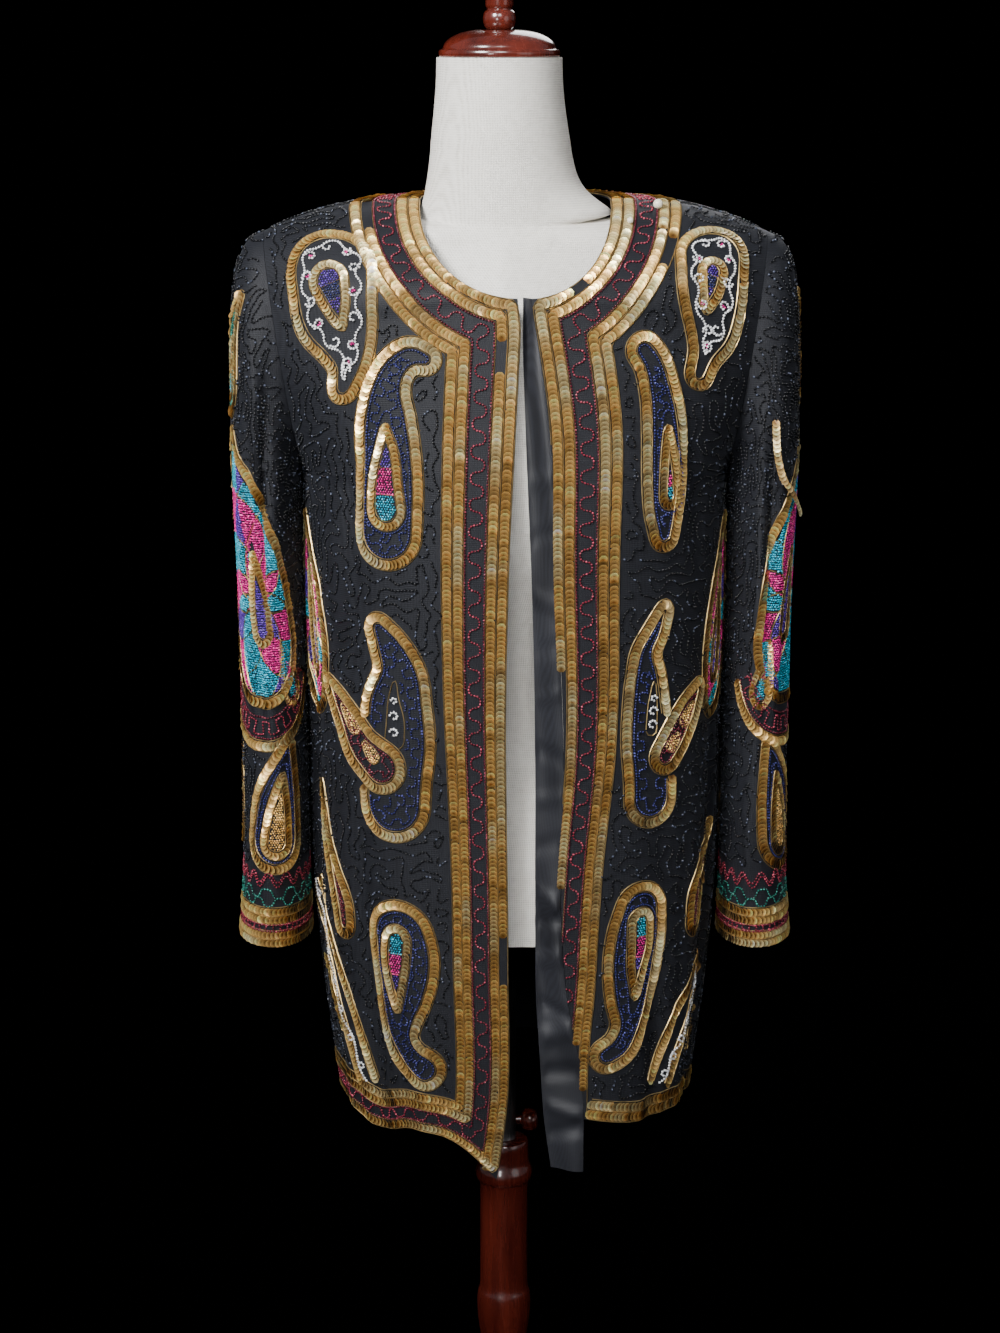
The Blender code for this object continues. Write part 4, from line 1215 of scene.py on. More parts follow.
def evenPlaces(along, spacing):
    count = max(int(round(along[-1] / spacing)), 2)
    return np.linspace(0, along[-1], count + 1)


def valuesAt(at, along, values):
    return np.column_stack([np.interp(at, along, values[:, k]) for k in range(values.shape[1])])


def resample(path, spacing, closed=False):
    path = np.asarray(path, float)
    if closed:
        path = np.vstack([path, path[:1]])
    along = lengthAlong(path)
    at = evenPlaces(along, spacing)
    return valuesAt(at[:-1] if closed else at, along, path)


def pathNormals(path, closed=False):
    if closed:
        along = np.roll(path, -1, axis=0) - np.roll(path, 1, axis=0)
    else:
        along = np.gradient(path, axis=0)
    along = unit(along)
    return np.column_stack([-along[:, 1], along[:, 0]])


def smoothPath(path, times, closed=False):
    for _ in range(times):
        after = np.roll(path, -1, axis=0) if closed else path[1:]
        before = path if closed else path[:-1]
        cut = np.stack([0.75 * before + 0.25 * after, 0.25 * before + 0.75 * after], axis=1).reshape(-1, 2)
        path = cut if closed else np.vstack([path[:1], cut, path[-1:]])
    return path


def nearest(points, path):
    # Distance from each point to the nearest point of a path
    best = np.full(len(points), 9.0)
    for start in range(0, len(points), 2000):
        block = points[start : start + 2000]
        gap = np.linalg.norm(block[:, None] - path[None], axis=2)
        best[start : start + 2000] = gap.min(axis=1)
    return best


def inside(points, outline):
    # Even-odd test of points against a closed outline
    x, y = points[:, 0][:, None], points[:, 1][:, None]
    ax, ay = outline[:, 0][None], outline[:, 1][None]
    bx, by = np.roll(outline[:, 0], -1)[None], np.roll(outline[:, 1], -1)[None]
    spans = (ay > y) != (by > y)
    rise = np.where(np.abs(by - ay) < 1e-12, 1e-12, by - ay)
    return (spans & (x < (bx - ax) * (y - ay) / rise + ax)).sum(axis=1) % 2 == 1


def insetOutline(outline, distance):
    # A closed outline moved inward, without the loops that tight turns would give
    dense = resample(outline, 0.0012, True)
    normals = pathNormals(dense, True)
    probe = dense + normals * 0.0006
    if inside(probe, dense).mean() < 0.5:
        normals = -normals
    moved = dense + normals * distance
    if distance < 0:
        keep = nearest(moved, dense) > abs(distance) * 0.97
    else:
        keep = (nearest(moved, dense) > distance * 0.97) & inside(moved, dense)
    moved = moved[keep]
    return resample(moved, 0.002, True) if len(moved) > 8 else None


def offsetLine(line, distance, reach):
    # A line beside another one, run on by reach at both ends
    line = resample(line, 0.004)
    moved = line + pathNormals(line) * distance
    start = moved[0] + unit(moved[0] - moved[3]) * reach
    end = moved[-1] + unit(moved[-1] - moved[-4]) * reach
    return np.vstack([start, moved, end])


def crossing(first, second):
    # The first place where two paths cross: its point and the segment numbers
    p, r = first[:-1][:, None], np.diff(first, axis=0)[:, None]
    q, s = second[:-1][None], np.diff(second, axis=0)[None]
    turn = r[..., 0] * s[..., 1] - r[..., 1] * s[..., 0]
    turn = np.where(np.abs(turn) < 1e-15, 1e-15, turn)
    gap = q - p
    t = (gap[..., 0] * s[..., 1] - gap[..., 1] * s[..., 0]) / turn
    u = (gap[..., 0] * r[..., 1] - gap[..., 1] * r[..., 0]) / turn
    hits = np.argwhere((t >= 0) & (t <= 1) & (u >= 0) & (u <= 1))
    if len(hits) == 0:
        return None
    i, j = hits[0]
    return first[i] + (first[i + 1] - first[i]) * t[i, j], i, j


def hang(panel, path, spacing, closed=False):
    # A flat path on the hung cloth, as runs of evenly spaced points, tangents and normals
    dense = resample(path, 0.0022, closed)
    if closed:
        dense = np.vstack([dense, dense[:1]])
    points, normals, found = lift(panel, dense)
    runs = []
    start = None
    for number in range(len(found) + 1):
        on = number < len(found) and found[number]
        if on and start is None:
            start = number
        if not on and start is not None:
            if number - start > 2:
                runs.append(evenRun(points[start:number], normals[start:number], spacing))
            start = None
    return runs


def evenRun(points, normals, spacing):
    along = lengthAlong(points)
    at = evenPlaces(along, spacing)
    place = valuesAt(at, along, points)
    normal = unit(valuesAt(at, along, normals))
    tangent = unit(np.gradient(place, axis=0))
    return place, unit(tangent - normal * (tangent * normal).sum(axis=1, keepdims=True)), normal


def softNoise(count, spacing, reach):
    # Smooth noise from 0 to 1 along a row, which changes over about reach metres
    knots = max(int(count * spacing / reach) + 3, 4)
    return np.interp(np.linspace(0, knots - 1, count), np.arange(knots), noiseDraw.random(knots))


sequinLook = {
    # How long the stretches of painted reflection run, and how softly they blend in
    "reflectReach": 0.035,
    "reflectBlend": 0.12,
    "brownReach": 0.020,
    "brownFrom": (0.72, 0.9),
    "brownShare": 0.6,
    "unevenness": (0.68, 1.28),
    # How much brighter the sequins with a painted glint are
    "glint": 1.6,
    # Spreads in degrees
    "tiltSpread": 5.5,
    "rollSpread": 5.0,
    # The hollows of the upper and lower face lie this far under the rim, in radii
    "hollows": (0.10, 0.16),
    # Painted light round the rim: its middle, swing and least value; then the painted shade of both hollows
    "rimShade": (0.72, 0.46, 0.2),
    "hollowShade": (0.16, 0.3),
    # Powers on red, green and blue that turn the painted shade amber
    "shadePower": (1.0, 1.25, 1.6),
}


def goldAndGlints(count, spacing, reflectShare):
    # Gold along a row, with brown stretches, stretches of painted reflection and a few sequins with a painted
    # glint
    given = sequinLook
    # Painted reflection: soft stretches where the gold is painted lighter
    share = softNoise(count, spacing, given["reflectReach"])[:, None]
    share = softStep(1.0 - reflectShare - given["reflectBlend"], 1.0 - reflectShare + given["reflectBlend"], share)
    brown = softStep(*given["brownFrom"], softNoise(count, spacing, given["brownReach"]))
    brown = brown[:, None] * given["brownShare"]
    colour = np.array(tints["gold"]) * (1 - share) + np.array(tints["reflectedGold"]) * share
    colour = colour * (1 - brown) + np.array(tints["brownGold"]) * brown
    # Painted glints: a few sequins are made brighter
    glint = np.where(noiseDraw.random((count, 1)) < embroiderySettings["sequinGlint"], given["glint"], 1.0)
    return colour * noiseDraw.uniform(*given["unevenness"], (count, 1)) * glint


def rowScale(panelName, heights, banded):
    # Rows of the front band are closer together lower down
    if not banded or panelName not in bandCuts:
        return np.ones(len(heights))
    return 0.25 + 0.75 * through(bandCuts[panelName], heights)[:, 1]


def sequinRow(panelName, path, closed=False, reflectShare=0.25, size=1.0, banded=False):
    # Overlapping sequins along a path, with a gold thread on either side; the share given sets how much of
    # their gold is painted reflection
    panel = panels[panelName]
    given = embroiderySettings
    step = given["sequinSpacing"]
    for place, tangent, normal in hang(panel, path, step, closed):
        keep = ~missingHere(panelName, place)
        place, tangent, normal = place[keep], tangent[keep], normal[keep]
        if len(place) < 2:
            continue
        colour = goldAndGlints(len(place), step, reflectShare)
        radius = given["sequinRadius"] * size * rowScale(panelName, place[:, 2], banded)
        stitches[panelName]["sequins"].append((place, tangent, normal, colour, radius))
    half = given["rowHalf"] * size
    dense = resample(path, 0.003, closed)
    normals = pathNormals(dense, closed) * rowScale(panelName, dense[:, 1], banded)[:, None]
    for side in (-half, half):
        cordLine(panelName, dense + normals * side, closed)


def missingHere(panelName, place):
    gone = np.zeros(len(place), bool)
    for across, height, halfWide, halfTall in missingSequins.get(panelName, ()):
        x = jacketCut["centre"] + across
        gone |= (np.abs(place[:, 0] - x) < halfWide) & (np.abs(place[:, 2] - height) < halfTall)
    return gone


def cordLine(panelName, path, closed=False):
    for run in hang(panels[panelName], path, embroiderySettings["cordSpacing"], closed):
        stitches[panelName]["cord"].append(run)


def beadLine(panelName, path, tint, closed=False, kind="small", target="beads"):
    given = embroiderySettings
    spacing = given[kind + "Spacing"]
    for place, tangent, normal in hang(panels[panelName], path, spacing, closed):
        colour = np.array(tints[tint]) * noiseDraw.uniform(0.65, 1.35, (len(place), 1))
        # Painted glints: some ground beads get a light blue glint colour
        if tint == "ground":
            glint = noiseDraw.random(len(place)) < given["groundGlint"]
            colour[glint] = np.array(tints["groundGlintBlue"]) * noiseDraw.uniform(0.5, 1.6, (glint.sum(), 1))
        # Painted glints: some coloured beads are made brighter
        if tint in ("navy", "maroon", "green", "red"):
            glint = noiseDraw.random(len(place)) < given["colourGlint"]
            colour[glint] = colour[glint] * 2.2 + 0.03
        stitches[panelName][target].append((place, tangent, normal, colour, given[kind + "Bead"]))


def wander(path, period, amplitude, swing=0.0, square=2.2, closed=False):
    # A squiggle along a path: sideways by a squared wave, its loops widened by swing
    fine = resample(path, 0.0008, closed)
    if closed:
        fine = np.vstack([fine, fine[:1]])
    along = lengthAlong(fine)
    length = along[-1]
    turns = max(int(round(length / period)), 1)
    at = np.linspace(0, length, max(int(length / 0.0006), 8))
    phase = 2 * np.pi * turns * at / length
    jitter = 1 + 0.22 * (softNoise(len(at), 0.0006, period * 0.7) - 0.5)
    uneven = 0.10 * period * (softNoise(len(at), 0.0006, period * 1.3) - 0.5)
    shifted = np.clip(at - swing * np.sin(2 * phase) + uneven, 0, length)
    base = valuesAt(shifted, along, fine)
    sideways = pathNormals(resample(path, 0.006, closed), closed)
    coarse = np.linspace(0, length, len(sideways))
    normals = unit(valuesAt(shifted, coarse, sideways))
    aside = amplitude * np.tanh(square * np.sin(phase)) / np.tanh(square) * jitter
    made = base + normals * aside[:, None]
    return made[:-1] if closed else made


def fillBeads(panelName, outline, colourAt, gap=0.0016):
    # Beads packed inside an outline; colourAt gives each one's tint, or None to leave it out
    pitch = embroiderySettings["fillPitch"]
    low, high = outline.min(axis=0), outline.max(axis=0)
    rows = np.arange(low[1], high[1], pitch * 0.87)
    points = []
    for number, y in enumerate(rows):
        xs = np.arange(low[0] + (number % 2) * pitch / 2, high[0], pitch)
        points.append(np.column_stack([xs, np.full(len(xs), y)]))
    points = np.concatenate(points)
    points = points[inside(points, outline)]
    points = points[nearest(points, resample(outline, 0.001, True)) > gap]
    names = [colourAt(point) for point in points]
    keep = np.array([name is not None for name in names], bool)
    if not keep.any():
        return
    points = points[keep] + noiseDraw.normal(0, pitch * 0.08, (keep.sum(), 2))
    colour = np.array([tints[name] for name in names if name]) * noiseDraw.uniform(0.5, 1.6, (keep.sum(), 1))
    # Painted glints: a few beads are made brighter
    glint = noiseDraw.random(len(colour)) < embroiderySettings["fillGlint"]
    colour[glint] = colour[glint] * 1.6 + 0.08
    place, normal, found = lift(panels[panelName], points)
    angle = noiseDraw.uniform(0, 2 * np.pi, len(points))
    helper = np.column_stack([np.cos(angle), np.zeros(len(points)), np.sin(angle)])
    tangent = unit(helper - normal * (helper * normal).sum(axis=1, keepdims=True))
    size = (pitch * 0.50, pitch * 0.44)
    stitches[panelName]["beads"].append((place[found], tangent[found], normal[found], colour[found], size))


# Outlines of drops, paisleys and leaves

def spineOutline(rows):
    # The outline round a row of circles: each row is x, y and radius, from the round end to the tail
    rows = np.asarray(rows, float)
    chord = lengthAlong(rows[:, :2])
    chord = chord / chord[-1]
    share = np.linspace(0, 1, 120)
    smooth = through(np.column_stack([chord, rows]), share)
    centre, radius = smooth[:, :2], np.maximum(smooth[:, 2], 0.0008)
    step = np.gradient(centre, axis=0)
    rate = np.clip(np.gradient(radius) / np.linalg.norm(step, axis=1), -0.95, 0.95)[:, None]
    ahead = unit(step)
    aside = np.column_stack([-ahead[:, 1], ahead[:, 0]])
    level = np.sqrt(1 - rate**2)
    left = centre + radius[:, None] * (aside * level - ahead * rate)
    right = centre + radius[:, None] * (-aside * level - ahead * rate)
    tail = arcBetween(centre[-1], left[-1], right[-1], radius[-1])
    head = arcBetween(centre[0], right[0], left[0], radius[0])
    outline = np.vstack([left, tail, right[::-1], head])
    gap = np.linalg.norm(outline[:, None] - centre[None], axis=2) - radius[None]
    outline = outline[gap.min(axis=1) > -0.0002]
    return smoothPath(resample(outline, 0.003, True), 1, True)


def arcBetween(centre, first, last, radius):
    # The clockwise arc from one point of a circle to another, without its ends
    start = angleOf(first - centre)
    sweep = -((start - angleOf(last - centre)) % (2 * math.pi))
    return centre + radius * onCircle(start + sweep * np.linspace(0, 1, 24)[1:-1])


def dropSpine(base, tip, width):
    # A plain drop as a spine: round at base, thin at tip
    tail = 0.002
    base, tip = np.asarray(base, float), np.asarray(tip, float)
    axis = unit(tip - base)
    length = float(np.linalg.norm(tip - base))
    start = base + axis * width / 2
    shares = np.array([0.0, 0.3, 0.6, 0.85, 1.0])
    halves = width / 2 * np.array([1.0, 0.86, 0.5, 0.2, 0.0]) + tail * shares
    return np.column_stack([start + axis * shares[:, None] * (length - width / 2 - tail), halves])


def between(base, tip, share):
    return np.asarray(base) + (np.asarray(tip) - np.asarray(base)) * share


def curlPath(middle, start, way, size, sweep, points, shrink):
    # A spiral that closes in by shrink over its sweep, in half turns
    turn = np.linspace(0, sweep * np.pi, points)
    radius = size * (1 - shrink * turn / turn[-1])
    return middle + radius[:, None] * onCircle(start + turn * way)


def scroll(base, tip, curls, size, wave):
    # Pieces of a vine with curls on alternate sides
    base, tip = np.asarray(base, float), np.asarray(tip, float)
    length = np.linalg.norm(tip - base)
    along = (tip - base) / length
    side = np.array([-along[1], along[0]])
    share = np.linspace(0, 1, int(length / 0.0015))
    swing = wave * np.sin(share * np.pi * curls)
    pieces = [base + along * (share * length)[:, None] + side * swing[:, None]]
    for number in range(curls):
        way = 1 if number % 2 == 0 else -1
        root = base + along * ((number + 0.5) / curls) * length + side * wave * way
        middle = root - side * way * size * 0.9
        pieces.append(curlPath(middle, angleOf(side * way), way, size, 1.6, 22, 0.62))
    return pieces


blocked = {name: [] for name in panels}


def goldOutline(panelName, outline, reflectShare=0.35, size=1.0, blocks=True):
    centre = insetOutline(outline, embroiderySettings["rowHalf"] * size)
    if centre is None:
        return
    sequinRow(panelName, centre, True, reflectShare, size)
    if blocks:
        blocked[panelName].append(outline)


def patchDrop(panelName, outline, base, tip, colours):
    # A small drop in bands of colour, each parted by a gold thread
    core = insetOutline(outline, embroiderySettings["rowHalf"] * 1.7)
    if core is None:
        return
    axis = unit(np.asarray(tip) - np.asarray(base))
    far = (core - np.asarray(base)) @ axis
    low, high = far.min(), far.max()

    def colourAt(point):
        share = ((point - np.asarray(base)) @ axis - low) / (high - low)
        place = min(int(share * len(colours)), len(colours) - 1)
        return colours[place]

    fillBeads(panelName, core, colourAt, 0.0010)
    side = np.array([-axis[1], axis[0]])
    for number in range(1, len(colours)):
        middle = np.asarray(base) + axis * (low + (high - low) * number / len(colours))
        line = middle + side * np.linspace(-0.02, 0.02, 60)[:, None]
        line = line[inside(line, core)]
        if len(line) > 4:
            cordLine(panelName, line)


paisleySettings = {
    # Share of painted reflection in the inner drop's gold
    "innerReflect": 0.5,
    "innerSize": 0.82,
    "fieldInset": 0.0118,
    "innerClearance": 0.0020,
    # Inset and amplitude of the squiggles in a field
    "squiggles": ((0.0176, 0.0031), (0.0265, 0.0034)),
    "squigglePeriod": 0.0150,
    "squiggleSwing": 0.0014,
    "squareness": 1.2,
    # The white vine: inset, period and amplitude, then the spacing and size of its curls
    "vineInset": 0.0165,
    "vinePeriod": 0.030,
    "vineAmplitude": 0.0026,
    "curlSpacing": 0.022,
    "curlSize": 0.0052,
}


def beadedPaisley(panelName, shape):
    # Gold outline, a beaded field with squiggles, and an inner drop
    given = paisleySettings
    outline = spineOutline(shape["spine"])
    goldOutline(panelName, outline, shape["reflectShare"])
    field = shape["field"]
    inner = None
    if "inner" in shape:
        rows = np.asarray(shape["inner"])
        inner = spineOutline(rows)
        goldOutline(panelName, inner, given["innerReflect"], given["innerSize"], False)
        patchDrop(panelName, inner, rows[0, :2], rows[-1, :2], shape["patches"])
    if field == "scroll":
        line = insetOutline(outline, given["vineInset"])
        if line is not None:
            vine = wander(line, given["vinePeriod"], given["vineAmplitude"], 0.0, given["squareness"], True)
            beadLine(panelName, vine, "white", True, "scroll")
            curlsAlong(panelName, line, given["curlSpacing"], given["curlSize"], "white")
        return
    fieldLine(panelName, insetOutline(outline, given["fieldInset"]), inner, field)
    if inner is not None:
        fieldLine(panelName, insetOutline(inner, -given["innerClearance"]), None, field)
    period, swing, square = given["squigglePeriod"], given["squiggleSwing"], given["squareness"]
    for inset, wide in given["squiggles"]:
        line = insetOutline(outline, inset)
        if line is not None:
            fieldLine(panelName, wander(line, period, wide, swing, square, True), inner, field)


def fieldLine(panelName, line, avoid, tint):
    # A bead line that breaks off where it would run into an inner outline
    if line is None:
        return
    if avoid is None:
        beadLine(panelName, line, tint, True)
        return
    clear = line[~inside(line, avoid)]
    if len(clear):
        clear = clear[nearest(clear, resample(avoid, 0.001, True)) > 0.0034]
    if len(clear) == len(line):
        beadLine(panelName, line, tint, True)
        return
    for piece in splitPath(clear, 0.004):
        beadLine(panelName, piece, tint)


def splitPath(path, gap):
    pieces = []
    start = 0
    for number in range(1, len(path) + 1):
        if number == len(path) or np.linalg.norm(path[number] - path[number - 1]) > gap:
            if number - start > 4:
                pieces.append(path[start:number])
            start = number
    return pieces


def curlsAlong(panelName, line, spacing, size, tint):
    # Small curls that grow inward from a beaded line
    roots = resample(line, spacing, True)
    normals = pathNormals(roots, True)
    if inside(roots + normals * 0.002, line).mean() < 0.5:
        normals = -normals
    for number, (root, normal) in enumerate(zip(roots, normals)):
        way = 1 if number % 2 == 0 else -1
        start = angleOf(-normal)
        middle = root + normal * size * 0.9
        beadLine(panelName, curlPath(middle, start, way, size, 1.5, 18, 0.6), tint, False, "scroll")
        if number % 2 == 0:
            beadLine(panelName, curlPath(middle, start, way, size * 0.25, 1.5, 18, 0.0), "magenta")


leafSettings = {
    "edgeInset": 0.0105,
    "innerSize": 0.8,
    "threadGap": 0.0010,
    "colours": ("turquoise", "magenta", "turquoise", "purple", "magenta", "turquoise", "magenta"),
}


def mosaicLeaf(panelName, shape):
    # A leaf of bright patches round an inner drop, each patch edged with gold thread
    given = leafSettings
    rows = np.asarray(shape["spine"])
    outline = spineOutline(rows)
    goldOutline(panelName, outline, 0.35)
    edge = insetOutline(outline, given["edgeInset"])
    innerRows = np.asarray(shape["inner"])
    innerBase, innerTip = innerRows[0, :2], innerRows[-1, :2]
    inner = spineOutline(innerRows)
    goldOutline(panelName, inner, 0.3, given["innerSize"], False)
    patchDrop(panelName, inner, innerBase, innerTip, ("purple", "purple"))
    middle = between(innerBase, innerTip, 0.35)
    pitch = shape["ringAt"]
    spokeTurn = 2 * math.pi / shape["spokes"]
    axisTurn = angleOf(rows[-1, :2] - rows[0, :2])
    colours = given["colours"]

    def colourAt(point):
        # Two families of spirals part the leaf; the threads' own lines stay free of beads
        if inside(point[None], inner)[0]:
            return None
        away = np.linalg.norm(point - middle)
        turn = (angleOf(point - middle) - axisTurn) % (2 * math.pi) / spokeTurn
        first, second = turn + 0.5 * away / pitch, turn - 0.5 * away / pitch
        for place in (first, second):
            if abs(place - round(place)) * spokeTurn * away < given["threadGap"]:
                return None
        return colours[(int(first) + 2 * math.floor(second)) % len(colours)]

    fillBeads(panelName, edge, colourAt, given["threadGap"])
    away = np.linspace(0.004, 0.16, 160)
    for number in range(shape["spokes"]):
        for way in (-1, 1):
            turn = axisTurn + spokeTurn * (number + way * 0.5 * away / pitch)
            ray = middle + away[:, None] * onCircle(turn)
            ray = ray[inside(ray, edge)]
            ray = ray[~inside(ray, inner)] if len(ray) else ray
            for piece in splitPath(ray, 0.004):
                cordLine(panelName, piece)


# The meander of black beads over the ground

def meanderPaths(points, pitch):
    # points: allowed block centres, as whole numbers. Each connected part gives one closed path
    # round a random tree, which fills it evenly.
    allowed = set(points)
    links = {cell: set() for cell in allowed}
    seen = set()
    order = sorted(allowed)
    draw.shuffle(order)
    for start in order:
        if start in seen:
            continue
        stack = [start]
        seen.add(start)
        while stack:
            cell = stack[-1] if draw.random() < 0.45 else stack[draw.randrange(len(stack))]
            x, y = cell
            near = ((x + 1, y), (x - 1, y), (x, y + 1), (x, y - 1))
            free = [spot for spot in near if spot in allowed and spot not in seen]
            if not free:
                stack.remove(cell)
                continue
            chosen = free[draw.randrange(len(free))]
            links[cell].add(chosen)
            links[chosen].add(cell)
            seen.add(chosen)
            stack.append(chosen)
    joined = {}

    def join(first, second):
        joined.setdefault(first, []).append(second)
        joined.setdefault(second, []).append(first)

    for (i, j), near in links.items():
        x, y = 2 * i, 2 * j
        if (i + 1, j) not in near:
            join((x + 1, y), (x + 1, y + 1))
        else:
            join((x + 1, y), (x + 2, y))
            join((x + 1, y + 1), (x + 2, y + 1))
        if (i - 1, j) not in near:
            join((x, y), (x, y + 1))
        if (i, j + 1) not in near:
            join((x, y + 1), (x + 1, y + 1))
        else:
            join((x, y + 1), (x, y + 2))
            join((x + 1, y + 1), (x + 1, y + 2))
        if (i, j - 1) not in near:
            join((x, y), (x + 1, y))
    paths = []
    used = set()
    for start in sorted(joined):
        if start in used:
            continue
        path = [start]
        used.add(start)
        current = start
        while True:
            free = [spot for spot in joined[current] if spot not in used]
            if not free:
                break
            current = free[0]
            used.add(current)
            path.append(current)
        paths.append(np.array(path, float) * pitch)
    return paths


def warp(points):
    # Bends a flat pattern smoothly, so that straight runs turn into loose waves
    x, y = points[..., 0], points[..., 1]
    aside = np.sin(235 * y + 40 * x + 0.7) + 0.6 * np.sin(370 * y - 90 * x)
    along = np.sin(255 * x - 60 * y) + 0.6 * np.sin(345 * x + 110 * y + 1.9)
    return points + embroiderySettings["warpReach"] * np.stack([aside, along], axis=-1)


def groundMeander(panelName, edges):
    # edges: (path, clearance) pairs that the meander keeps away from
    panel = panels[panelName]
    pitch = embroiderySettings["groundPitch"]
    low = panel["flatPoints"].min(axis=0)
    high = panel["flatPoints"].max(axis=0)
    counts = ((high - low) / (2 * pitch)).astype(int) + 1
    cells = [(i, j) for i in range(counts[0]) for j in range(counts[1])]
    spots = [(2 * i + a, 2 * j + b) for i, j in cells for a in (0, 1) for b in (0, 1)]
    grid = np.array(spots, float) * pitch + low
    corners = warp(grid)
    good = lift(panel, corners)[2]
    for path, clearance in edges:
        good &= nearest(corners, resample(path, 0.003)) > clearance
    for outline in blocked[panelName]:
        near = (corners > outline.min(axis=0) - 0.01).all(axis=1)
        near &= (corners < outline.max(axis=0) + 0.01).all(axis=1)
        if near.any():
            some = corners[near]
            away = nearest(some, resample(outline, 0.002, True))
            good[near] &= ~inside(some, outline) & (away > 0.0014)
    whole = good.reshape(-1, 4).all(axis=1)
    paths = meanderPaths([cell for cell, fine in zip(cells, whole) if fine], pitch)
    for path in paths:
        path = path + low + noiseDraw.normal(0, pitch * 0.17, path.shape)
        path = warp(resample(smoothPath(path, 3, True), 0.002, True))
        beadLine(panelName, path, "ground", True, "ground", "ground")
    # Where a block doesn't fit, short runs join the corners that are left
    left = grid[good & ~np.repeat(whole, 4)]
    lone = {tuple(spot) for spot in np.round((left - low) / pitch).astype(int)}
    while lone:
        current = min(lone)
        run = [current]
        lone.remove(current)
        while len(run) < 14:
            x, y = run[-1]
            around = ((x, y + 1), (x + 1, y), (x, y - 1), (x - 1, y))
            near = [spot for spot in around if spot in lone]
            if not near:
                break
            chosen = near[draw.randrange(len(near))]
            run.append(chosen)
            lone.remove(chosen)
        path = np.array(run, float) * pitch + low
        if len(run) == 1:
            path = path + np.array([(-0.0028, 0.0012), (0.0, -0.0012), (0.0028, 0.0012)])
        path = path + noiseDraw.normal(0, pitch * 0.15, path.shape)
        beadLine(panelName, warp(smoothPath(path, 3)), "ground", False, "ground", "ground")


# Borders of gold rows, a beaded strip and gold rows. Distances are from the cloth's edge.
borderSettings = {
    "frontGold": (0.0055, 0.0155, 0.0455, 0.0555),
    "frontStrip": (0.0215, 0.0395),
    "frontWidth": 0.0620,
    "hemGold": {
        "front_right": (0.0045, 0.0240, 0.0315),
        "front_left": (0.0055, 0.0145),
        "back_right": (0.0045, 0.0240, 0.0315),
        "back_left": (0.0045, 0.0240, 0.0315),
    },
    "hemStrip": (0.0095, 0.0195),
    "hemWidth": {"front_right": 0.0370, "front_left": 0.0200, "back_right": 0.0370, "back_left": 0.0370},
    "cuffGold": (0.0040, 0.0115, 0.0255, 0.0330),
    "cuffStrip": (0.0155, 0.0215),
    "cuffClearance": 0.074,
    # Red zigzag and green squiggles above the cuff: height, period, amplitude, tint, squareness
    "cuffLines": (
        (0.0610, 0.017, 0.0050, "red", 0.4),
        (0.0650, 0.017, 0.0050, "red", 0.4),
        (0.0500, 0.022, 0.0040, "green", 2.4),
        (0.0420, 0.019, 0.0035, "green", 2.4),
    ),
    "squigglePeriod": 0.0222,
}
# height, how far the band's edge lies beyond the cloth's edge, share of the full width
bandCuts = {
    "front_right": np.array([
        (0.545, 0.0, 0.72), (0.700, 0.0, 0.77), (0.885, 0.0, 0.81), (0.973, 0.0, 0.87),
        (1.120, 0.0, 0.96), (1.200, 0.0, 1.0), (1.320, 0.0, 1.0),
    ]),
    "front_left": np.array([
        (0.600, 0.0430, 0.74), (0.650, 0.0387, 0.74), (0.708, 0.0244, 0.77), (0.787, 0.0139, 0.77),
        (0.865, 0.0095, 0.80), (0.973, 0.0054, 0.87), (1.118, 0.0038, 0.96), (1.210, 0.0, 1.0),
        (1.320, 0.0, 1.0),
    ]),
}
# Places where sequins are lost: across, height, half width, half height
missingSequins = {
    "front_right": (
        (-0.0105, 1.264, 0.0045, 0.0135),
        (-0.0080, 0.745, 0.0050, 0.0210),
        (-0.1245, 1.372, 0.0045, 0.0110),
    ),
    "front_left": (
        (0.0480, 1.3190, 0.0100, 0.0055),
        (0.1270, 1.3480, 0.0045, 0.0150),
    ),
}


def bandLine(panel, edge, distance):
    # A line along the front edge, as far from it as the band's cut says at each height
    cut = through(bandCuts[panel["name"]], edge[:, 1])
    return np.column_stack([edge[:, 0] - cut[:, 0] + distance * cut[:, 1], edge[:, 1]])


def cornerLine(panel, distance, hemDistance=-0.03):
    # A line that follows the hem, turns up the front edge and runs round the neckline. With the
    # hem distance left out it starts below the hem.
    flat = panel["flat"]
    corner = cornerRow("frontCorner")
    hem = offsetLine(flat[0][::-1], -hemDistance, 0.06)
    edge = bandLine(panel, flat[: corner + 1, 0], distance)
    edge = np.vstack([edge[0] - (0.0, 0.06), edge, edge[-1] + unit(edge[-1] - edge[-4]) * 0.06])
    neck = offsetLine(flat[corner:, 0], -distance, 0.05)
    low = crossing(hem, edge)
    line = edge
    if low is not None:
        point, i, j = low
        line = np.vstack([hem[1 : i + 1], point, edge[j + 1 :]])
    high = crossing(line, neck)
    if high is not None:
        point, i, j = high
        line = np.vstack([line[: i + 1], point, neck[j + 1 : -1]])
    return resample(line, 0.003)


def squiggle(middle, wide):
    return wander(middle, borderSettings["squigglePeriod"], wide, 0.0013, 0.5)


